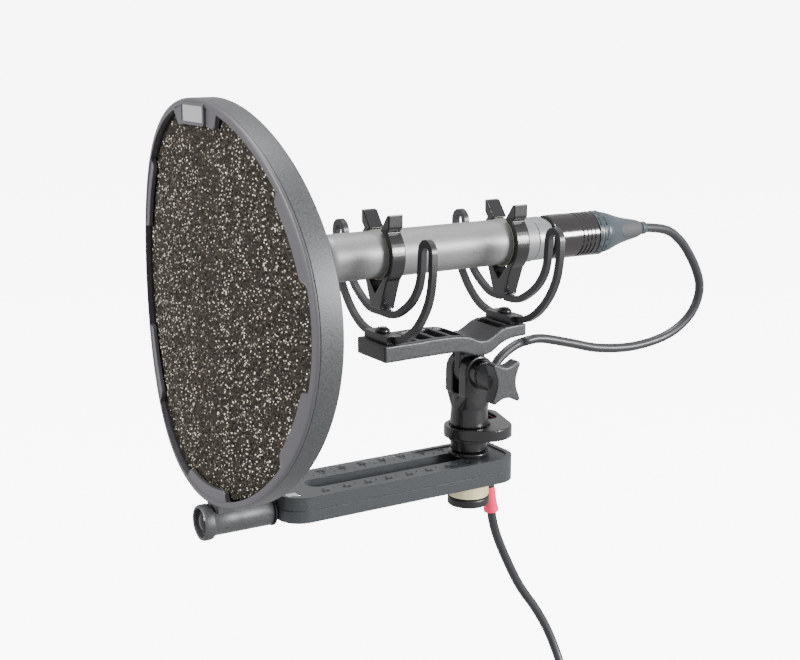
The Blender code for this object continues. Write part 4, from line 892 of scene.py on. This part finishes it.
inlays = bmesh.new()
for turn in (8.0, 188.0):
    rows = []
    for i in range(17):
        share = i / 16
        y = INLAY_START + (INLAY_END - INLAY_START) * share
        spread = INLAY_SPREAD * math.sqrt(1 - (1 - share) ** 2.2) + 0.5
        row = []
        for k in range(13):
            across = -1 + k / 6
            t = math.radians(turn + across * spread)
            lift = INLAY_LIFT if abs(across) < 0.95 and 0 < i < 16 else -0.0002
            r = boot_radius(y) + lift
            row.append(inlays.verts.new((r * math.cos(t), boot_front + y, mic_z + r * math.sin(t))))
        rows.append(row)
    for row, after in zip(rows, rows[1:]):
        for k in range(12):
            inlays.faces.new((row[k], row[k + 1], after[k + 1], after[k]))
inlay = placed("plug_boot_inlays", inlays, inlay_grey)
inlay.data.shade_smooth()
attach(inlay, "microphone")
print("boot", round(boot_length, 4), "m, inlay faces", len(inlay.data.polygons))

# %% [markdown]
# ## The coupling on the stand
#
# The swivel's foot, the straw-coloured brass adaptor that screws on a stand, and the ring that locks it are turned
# parts in the model already, so a small bevel on their edges is all they need.

# %% Swivel base, adaptor and lock ring
base = finished("swivel_base", gloss_black, 0.0004)
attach(base, "stand_coupling")
adaptor = finished("thread_adaptor", brass, 0.0003)
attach(adaptor, "stand_coupling")
lock = finished("lock_ring", lock_black, 0.0004)
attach(lock, body_of["lock_ring"])
print("coupling", base.name, adaptor.name, lock.name)

# %% [markdown]
# ## The lyres
#
# Each lyre is one closed strip of springy plastic. Its foot is screwed to the cradle and its inner loop carries
# the microphone's clip, so it has to give when the microphone moves. Each is finished with rounded edges, and its
# place is baked into its mesh.

# %% Lyres
for side in ("front", "rear"):
    node = "lyre_" + side
    lyre = finished(node, lyre_black, 0.0005, segments=3)
    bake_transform(lyre)
    print(lyre.name, len(lyre.data.polygons))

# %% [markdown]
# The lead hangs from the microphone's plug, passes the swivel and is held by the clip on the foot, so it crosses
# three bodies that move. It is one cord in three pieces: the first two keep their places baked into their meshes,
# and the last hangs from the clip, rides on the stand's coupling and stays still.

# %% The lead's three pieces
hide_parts("lead_head")
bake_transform(lead_head)
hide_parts("lead_neck")
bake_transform(lead_neck)
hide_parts("lead_tail", "lead_coil", "lead_end")
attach(lead_tail, "stand_coupling")

# %% [markdown]
# ## The foam
#
# The screen is a slab of coarse open-cell foam, a few cells to the centimetre, dyed nearly black. Its look comes
# from thousands of small pits whose rims catch the light. The slab is a fine grid on each side: a Voronoi pattern
# sinks each cell and leaves its walls standing, and the material adds painted glints: pale flecks in the base
# colour that stand in for light shining off broken cell walls.

# %% The foam's shape
FOAM_STEP = 0.00078
CELL = 0.0021
PIT_DEPTH = 0.0015


def foam_height(x, z, side):
    """How far the surface stands above the bottom of its pits at this place, from 0 to 1."""
    place = Vector((x / CELL, z / CELL, 7.3 * side))
    near, after = noise.voronoi(place)[0][:2]
    wall = min(1.0, max(0.0, (after - near) * 2.2))
    rough = noise.noise(place * 2.3) * 0.35
    return min(1.0, max(0.0, 1.0 - wall * 0.75 + rough * 0.6))


def foam_disc():
    centre, radius = middle("foam_disc"), (high("foam_disc").x - low("foam_disc").x) / 2
    front = low("foam_disc").y
    back = high("foam_disc").y - BOW * radius ** 2
    count = int(radius / FOAM_STEP)
    points, faces, index = [], [], {}
    for side, base, out in ((0, front + 0.0001, 1.0), (1, back - 0.0001, -1.0)):
        for i in range(-count, count + 1):
            for j in range(-count, count + 1):
                x, z = i * FOAM_STEP, j * FOAM_STEP
                if x * x + z * z > (radius - 0.0003) ** 2:
                    continue
                pit = PIT_DEPTH * (1 - foam_height(x, z, side))
                index[side, i, j] = len(points)
                points.append((x, base + out * pit + BOW * x * x, centre.z + z))
    for i in range(-count, count):
        for j in range(-count, count):
            for side in (0, 1):
                corners = [(side, i, j), (side, i + 1, j), (side, i + 1, j + 1), (side, i, j + 1)]
                if all(c in index for c in corners):
                    loop = [index[c] for c in corners]
                    faces.append(loop if side == 0 else loop[::-1])
    seen = dict.fromkeys((a, b) for face in faces for a, b in zip(face, face[1:] + face[:1]))
    other = {index[0, i, j]: index[1, i, j] for side, i, j in index if side == 0}
    rim = [(a, b) for a, b in seen if (b, a) not in seen and a in other and b in other]
    faces += [(b, a, other[a], other[b]) for a, b in rim]
    mesh = bpy.data.meshes.new("foam")
    mesh.from_pydata(points, [], faces)
    mesh.shade_smooth()
    return mesh


foam = bpy.data.objects.new("foam_screen", foam_disc())
bpy.context.scene.collection.objects.link(foam)
print("foam faces", len(foam.data.polygons))


# %% [markdown]
# The foam's strands are too fine to model. A Voronoi pattern picks some of its cells and puts a painted glint, a
# bright fleck in the base colour, in the middle of each, standing in for light caught by the strands. A noise makes
# the rest dark and uneven, and both read Object coordinates so nothing slides.

# %% The foam's material
def ramp(nodes, *stops):
    """A colour ramp with these (position, colour) stops."""
    made = nodes.new("ShaderNodeValToRGB")
    for element, (position, colour) in zip(made.color_ramp.elements, stops):
        element.position = position
        element.color = (*colour, 1.0)
    return made


def foam_material():
    made = bpy.data.materials.new("open_foam")
    made.use_nodes = True
    nodes, links = made.node_tree.nodes, made.node_tree.links
    shader = nodes["Principled BSDF"]
    place = nodes.new("ShaderNodeTexCoord")
    glint_cells = nodes.new("ShaderNodeTexVoronoi")
    glint_cells.inputs["Scale"].default_value = 1050.0
    crumbs = nodes.new("ShaderNodeTexNoise")
    crumbs.inputs["Scale"].default_value = 1300.0
    crumbs.inputs["Detail"].default_value = 3.0
    for texture in (glint_cells, crumbs):
        links.new(place.outputs["Object"], texture.inputs["Vector"])
    black, white = (0.0, 0.0, 0.0), (1.0, 1.0, 1.0)
    which = ramp(nodes, (0.58, black), (0.76, white))
    spot = ramp(nodes, (0.16, white), (0.44, black))
    links.new(glint_cells.outputs["Color"], which.inputs["Fac"])
    links.new(glint_cells.outputs["Distance"], spot.inputs["Fac"])
    # Painted glints: the picked cells get bright flecks in the base colour, standing in for highlights on the foam.
    painted_glint = nodes.new("ShaderNodeMath")
    painted_glint.operation = "MULTIPLY"
    links.new(which.outputs["Color"], painted_glint.inputs[0])
    links.new(spot.outputs["Color"], painted_glint.inputs[1])
    body = ramp(nodes, (0.40, (0.0022, 0.0018, 0.0014)), (0.66, (0.040, 0.031, 0.021)))
    links.new(crumbs.outputs["Fac"], body.inputs["Fac"])
    blend = nodes.new("ShaderNodeMix")
    blend.data_type = "RGBA"
    blend.inputs["B"].default_value = (1.0, 0.94, 0.80, 1.0)
    links.new(painted_glint.outputs["Value"], blend.inputs["Factor"])
    links.new(body.outputs["Color"], blend.inputs["A"])
    links.new(blend.outputs["Result"], shader.inputs["Base Color"])
    shader.inputs["Roughness"].default_value = 0.5
    shader.inputs["Specular IOR Level"].default_value = 0.15
    bump = nodes.new("ShaderNodeBump")
    bump.inputs["Strength"].default_value = 0.8
    bump.inputs["Distance"].default_value = 0.0006
    links.new(crumbs.outputs["Fac"], bump.inputs["Height"])
    links.new(bump.outputs["Normal"], shader.inputs["Normal"])
    return made


foam.data.materials.append(foam_material())
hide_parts("foam_disc")
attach(foam, "filter")

# %% [markdown]
# ## What repeats: scale marks, knurl and slots
#
# The arm carries a scale of evenly spaced marks, the brass adaptor a fine straight knurl, and the plug's ring a
# row of slots, drawn as dark blocks of painted shade. Geometry Nodes make all three: one tree puts a small block
# along a line, the other puts it round a circle, and both end with real geometry that has its material.

# %% What the two trees share
def block_tree(name, finish, inputs):
    """A tree with these inputs that puts a block on points still to be linked, and its input and scatter nodes."""
    tree = bpy.data.node_groups.new(name, "GeometryNodeTree")
    for label, kind in inputs:
        tree.interface.new_socket(label, in_out="INPUT", socket_type="NodeSocket" + kind)
    tree.interface.new_socket("Geometry", in_out="OUTPUT", socket_type="NodeSocketGeometry")
    nodes, links = tree.nodes, tree.links
    given, out = nodes.new("NodeGroupInput"), nodes.new("NodeGroupOutput")
    block = nodes.new("GeometryNodeMeshCube")
    scatter = nodes.new("GeometryNodeInstanceOnPoints")
    real = nodes.new("GeometryNodeRealizeInstances")
    coloured = nodes.new("GeometryNodeSetMaterial")
    coloured.inputs["Material"].default_value = finish
    links.new(given.outputs["Block"], block.inputs["Size"])
    links.new(block.outputs["Mesh"], scatter.inputs["Instance"])
    links.new(scatter.outputs["Instances"], real.inputs["Geometry"])
    links.new(real.outputs["Geometry"], coloured.inputs["Geometry"])
    links.new(coloured.outputs["Geometry"], out.inputs["Geometry"])
    return tree, given, scatter


# %% A row of blocks along a line
def block_row(name, finish, count, spacing, size, start):
    """Blocks of this size in a row along +Y, from start."""
    tree, given, scatter = block_tree(name, finish, (("Count", "Int"), ("Spacing", "Float"), ("Block", "Vector"),
                                                     ("Start", "Vector")))
    nodes, links = tree.nodes, tree.links
    offset = nodes.new("ShaderNodeCombineXYZ")
    line = nodes.new("GeometryNodeMeshLine")
    links.new(given.outputs["Count"], line.inputs["Count"])
    links.new(given.outputs["Start"], line.inputs["Start Location"])
    links.new(given.outputs["Spacing"], offset.inputs["Y"])
    links.new(offset.outputs["Vector"], line.inputs["Offset"])
    links.new(line.outputs["Mesh"], scatter.inputs["Points"])
    return run_tree(name, tree, {"Count": count, "Spacing": spacing, "Block": size, "Start": start})


def run_tree(name, tree, values):
    """A plain mesh object made by the tree with these inputs."""
    obj = bpy.data.objects.new(name, bpy.data.meshes.new(name))
    bpy.context.scene.collection.objects.link(obj)
    step = obj.modifiers.new("made", "NODES")
    step.node_group = tree
    for item in tree.interface.items_tree:
        if item.in_out == "INPUT" and item.name in values:
            step[item.identifier] = values[item.name]
    return settled(obj)


# %% Blocks round a circle
def block_ring(name, finish, count, radius, size, centre, along="Z"):
    """Blocks of this size (outwards, along the ring, along its axis) round an axis through centre."""
    tree, given, scatter = block_tree(name, finish, (("Count", "Int"), ("Radius", "Float"), ("Block", "Vector")))
    nodes, links = tree.nodes, tree.links
    circle = nodes.new("GeometryNodeMeshCircle")
    where = nodes.new("GeometryNodeInputPosition")
    turn = nodes.new("FunctionNodeAlignRotationToVector")
    turn.axis = "X"
    turn.pivot_axis = "Z"
    links.new(given.outputs["Count"], circle.inputs["Vertices"])
    links.new(given.outputs["Radius"], circle.inputs["Radius"])
    links.new(where.outputs["Position"], turn.inputs["Vector"])
    links.new(circle.outputs["Mesh"], scatter.inputs["Points"])
    links.new(turn.outputs["Rotation"], scatter.inputs["Rotation"])
    ring = run_tree(name, tree, {"Count": count, "Radius": radius, "Block": size})
    if along == "Y":
        ring.data.transform(Matrix.Rotation(math.radians(-90), 4, "X"))
    ring.data.transform(Matrix.Translation(centre))
    return ring


# %% Scale marks on the arm
MARKS, MARK_SPACING, FIRST_MARK_Y, FIRST_HALF_Y = 8, 0.0101, -0.0785, -0.0735
MARK_X, FIGURE_X, FIGURE_SIZE = 0.0090, 0.0116, 0.0036
panel_z = high("arm_upper_shell").z - 0.00046
for name, x in (("left", -MARK_X), ("right", MARK_X)):
    marks = block_row("scale_marks_" + name, gloss_black, MARKS, MARK_SPACING, (0.0020, 0.00045, 0.00030),
                      (x, FIRST_MARK_Y, panel_z))
    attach(marks, "arm")
    small = block_row("scale_half_marks_" + name, gloss_black, MARKS - 1, MARK_SPACING,
                      (0.0010, 0.00040, 0.00030), (x, FIRST_HALF_Y, panel_z))
    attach(small, "arm")
print("scale marks", MARKS, "a side,", MARK_SPACING, "m apart")

# %% [markdown]
# Small raised numbers stand beside the marks. Blender's own font makes them, and each is turned into a mesh before
# it is moved to its place. They are plain distances, and stand for no real scale.

# %% Numbers beside the marks
def number(text, x, y):
    """A small raised figure on the arm's panel, made a mesh in its place."""
    curve = bpy.data.curves.new("figure", "FONT")
    curve.body = text
    curve.size = FIGURE_SIZE
    curve.align_x, curve.align_y = "CENTER", "CENTER"
    curve.extrude = 0.00014
    curve.resolution_u = 3
    holder = bpy.data.objects.new("figure", curve)
    bpy.context.scene.collection.objects.link(holder)
    mesh = bpy.data.meshes.new_from_object(holder.evaluated_get(bpy.context.evaluated_depsgraph_get()))
    bpy.data.objects.remove(holder)
    mesh.transform(Matrix.Translation((x, y, panel_z + 0.00005)) @ Matrix.Rotation(math.radians(90), 4, "Z"))
    return mesh


figures = bmesh.new()
for k in range(MARKS):
    for x in (-FIGURE_X, FIGURE_X):
        figures.from_mesh(number(str(10 * (MARKS - k)), x, FIRST_MARK_Y + MARK_SPACING * k))
scale_figures = placed("scale_figures", figures, gloss_black)
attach(scale_figures, "arm")
print("scale figures faces", len(scale_figures.data.polygons))

# %% [markdown]
# The adaptor's knurl is ninety fine ribs, and each half of the plug's ring has nine slots. Both are rings of blocks
# that stand out of their surface by a fraction of a millimetre. The slots' blocks are painted shade: gloss black,
# they stand in for the shadow inside each slot.

# %% Knurl on the adaptor, painted shade for the slots on the plug's ring
RIBS, SLOTS = 90, 9
adaptor_r = high("thread_adaptor").x
adaptor_low = high("lock_ring").z + 0.0009
adaptor_height = high("thread_adaptor").z - adaptor_low - 0.0008
knurl = block_ring("adaptor_knurl", brass, RIBS, adaptor_r - 0.00012, (0.0005, 0.00026, adaptor_height),
                   (0, 0, adaptor_low + adaptor_height / 2))
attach(knurl, "stand_coupling")
nut_mid = middle("connector_nut")
# Painted shade: dark gloss-black blocks, nearly flush with the ring, in place of the shadow inside each slot.
for name, offset in (("front", -0.0016), ("rear", 0.0016)):
    slot_shade = block_ring("plug_ring_slots_" + name, gloss_black, SLOTS, nut_r - 0.00032,
                       (0.0007, 0.0044, 0.0006), nut_mid + Vector((0, offset, 0)), along="Y")
    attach(slot_shade, "microphone")
print("knurl faces", len(knurl.data.polygons), "slot faces", len(slot_shade.data.polygons))

# %% [markdown]
# ## Light and floor
#
# Dark satin plastic only shows its shape through what it reflects, so the lights are large and soft: one in front
# of the screen, one opposite to draw the rear edges, one above, and a pale surround for everything else.

# %% Lights, surround and floor
def soft_light(name, place, aim, width, power):
    light = bpy.data.lights.new(name, "AREA")
    light.shape = "DISK"
    light.size = width
    light.energy = power
    lamp = bpy.data.objects.new(name, light)
    lamp.location = place
    lamp.rotation_euler = (Vector(aim) - Vector(place)).to_track_quat("-Z", "Y").to_euler()
    bpy.context.scene.collection.objects.link(lamp)


soft_light("front", (-0.15, -1.40, 0.55), (0, -0.03, 0.08), 0.55, 30)
soft_light("side", (1.20, 0.80, 0.42), (0, 0, 0.08), 0.50, 46)
soft_light("top", (-0.10, 0.10, 1.60), (0, 0, 0.05), 0.8, 26)

world = bpy.data.worlds.new("surround")
world.use_nodes = True
world.node_tree.nodes["Background"].inputs["Color"].default_value = (1.0, 1.0, 1.0, 1.0)
world.node_tree.nodes["Background"].inputs["Strength"].default_value = 0.85
bpy.context.scene.world = world

# %% [markdown]
# The floor is a white sweep that curves up into a wall all round, so there is no horizon. It glows to stay white,
# and it is hidden from the object's own reflections, so the dark plastics keep their depth.

# %% The white cove
pale = grained("pale_floor", (0.95, 0.95, 0.95), 0.8, grain=60, depth=0.0001, drift=0.01)
pale.node_tree.nodes["Principled BSDF"].inputs["Emission Color"].default_value = (1.0, 1.0, 1.0, 1.0)
pale.node_tree.nodes["Principled BSDF"].inputs["Emission Strength"].default_value = 7.0
FLAT_RADIUS, CORNER_RADIUS, COVE_SIDES = 6.0, 3.0, 64
cove = bmesh.new()
rows = [(FLAT_RADIUS * k / 6 + 0.01, 0.0) for k in range(7)]
rows += [(FLAT_RADIUS + CORNER_RADIUS * math.sin(t), CORNER_RADIUS * (1 - math.cos(t)))
         for t in [math.pi / 2 * k / 12 for k in range(1, 13)]]
bearings = [2 * math.pi * k / COVE_SIDES for k in range(COVE_SIDES)]
rings = [[cove.verts.new((r * math.cos(a), r * math.sin(a), z)) for a in bearings] for r, z in rows]
skinned(cove, rings)
cove.faces.new(rings[0])
floor = placed("floor", cove, pale)
floor.data.shade_smooth()
floor.data.transform(Matrix.Translation((0, 0, cad_box[0][2] - 0.0002)))
for ray in ("visible_diffuse", "visible_glossy", "visible_shadow"):
    setattr(floor, ray, False)
print("floor faces", len(floor.data.polygons))
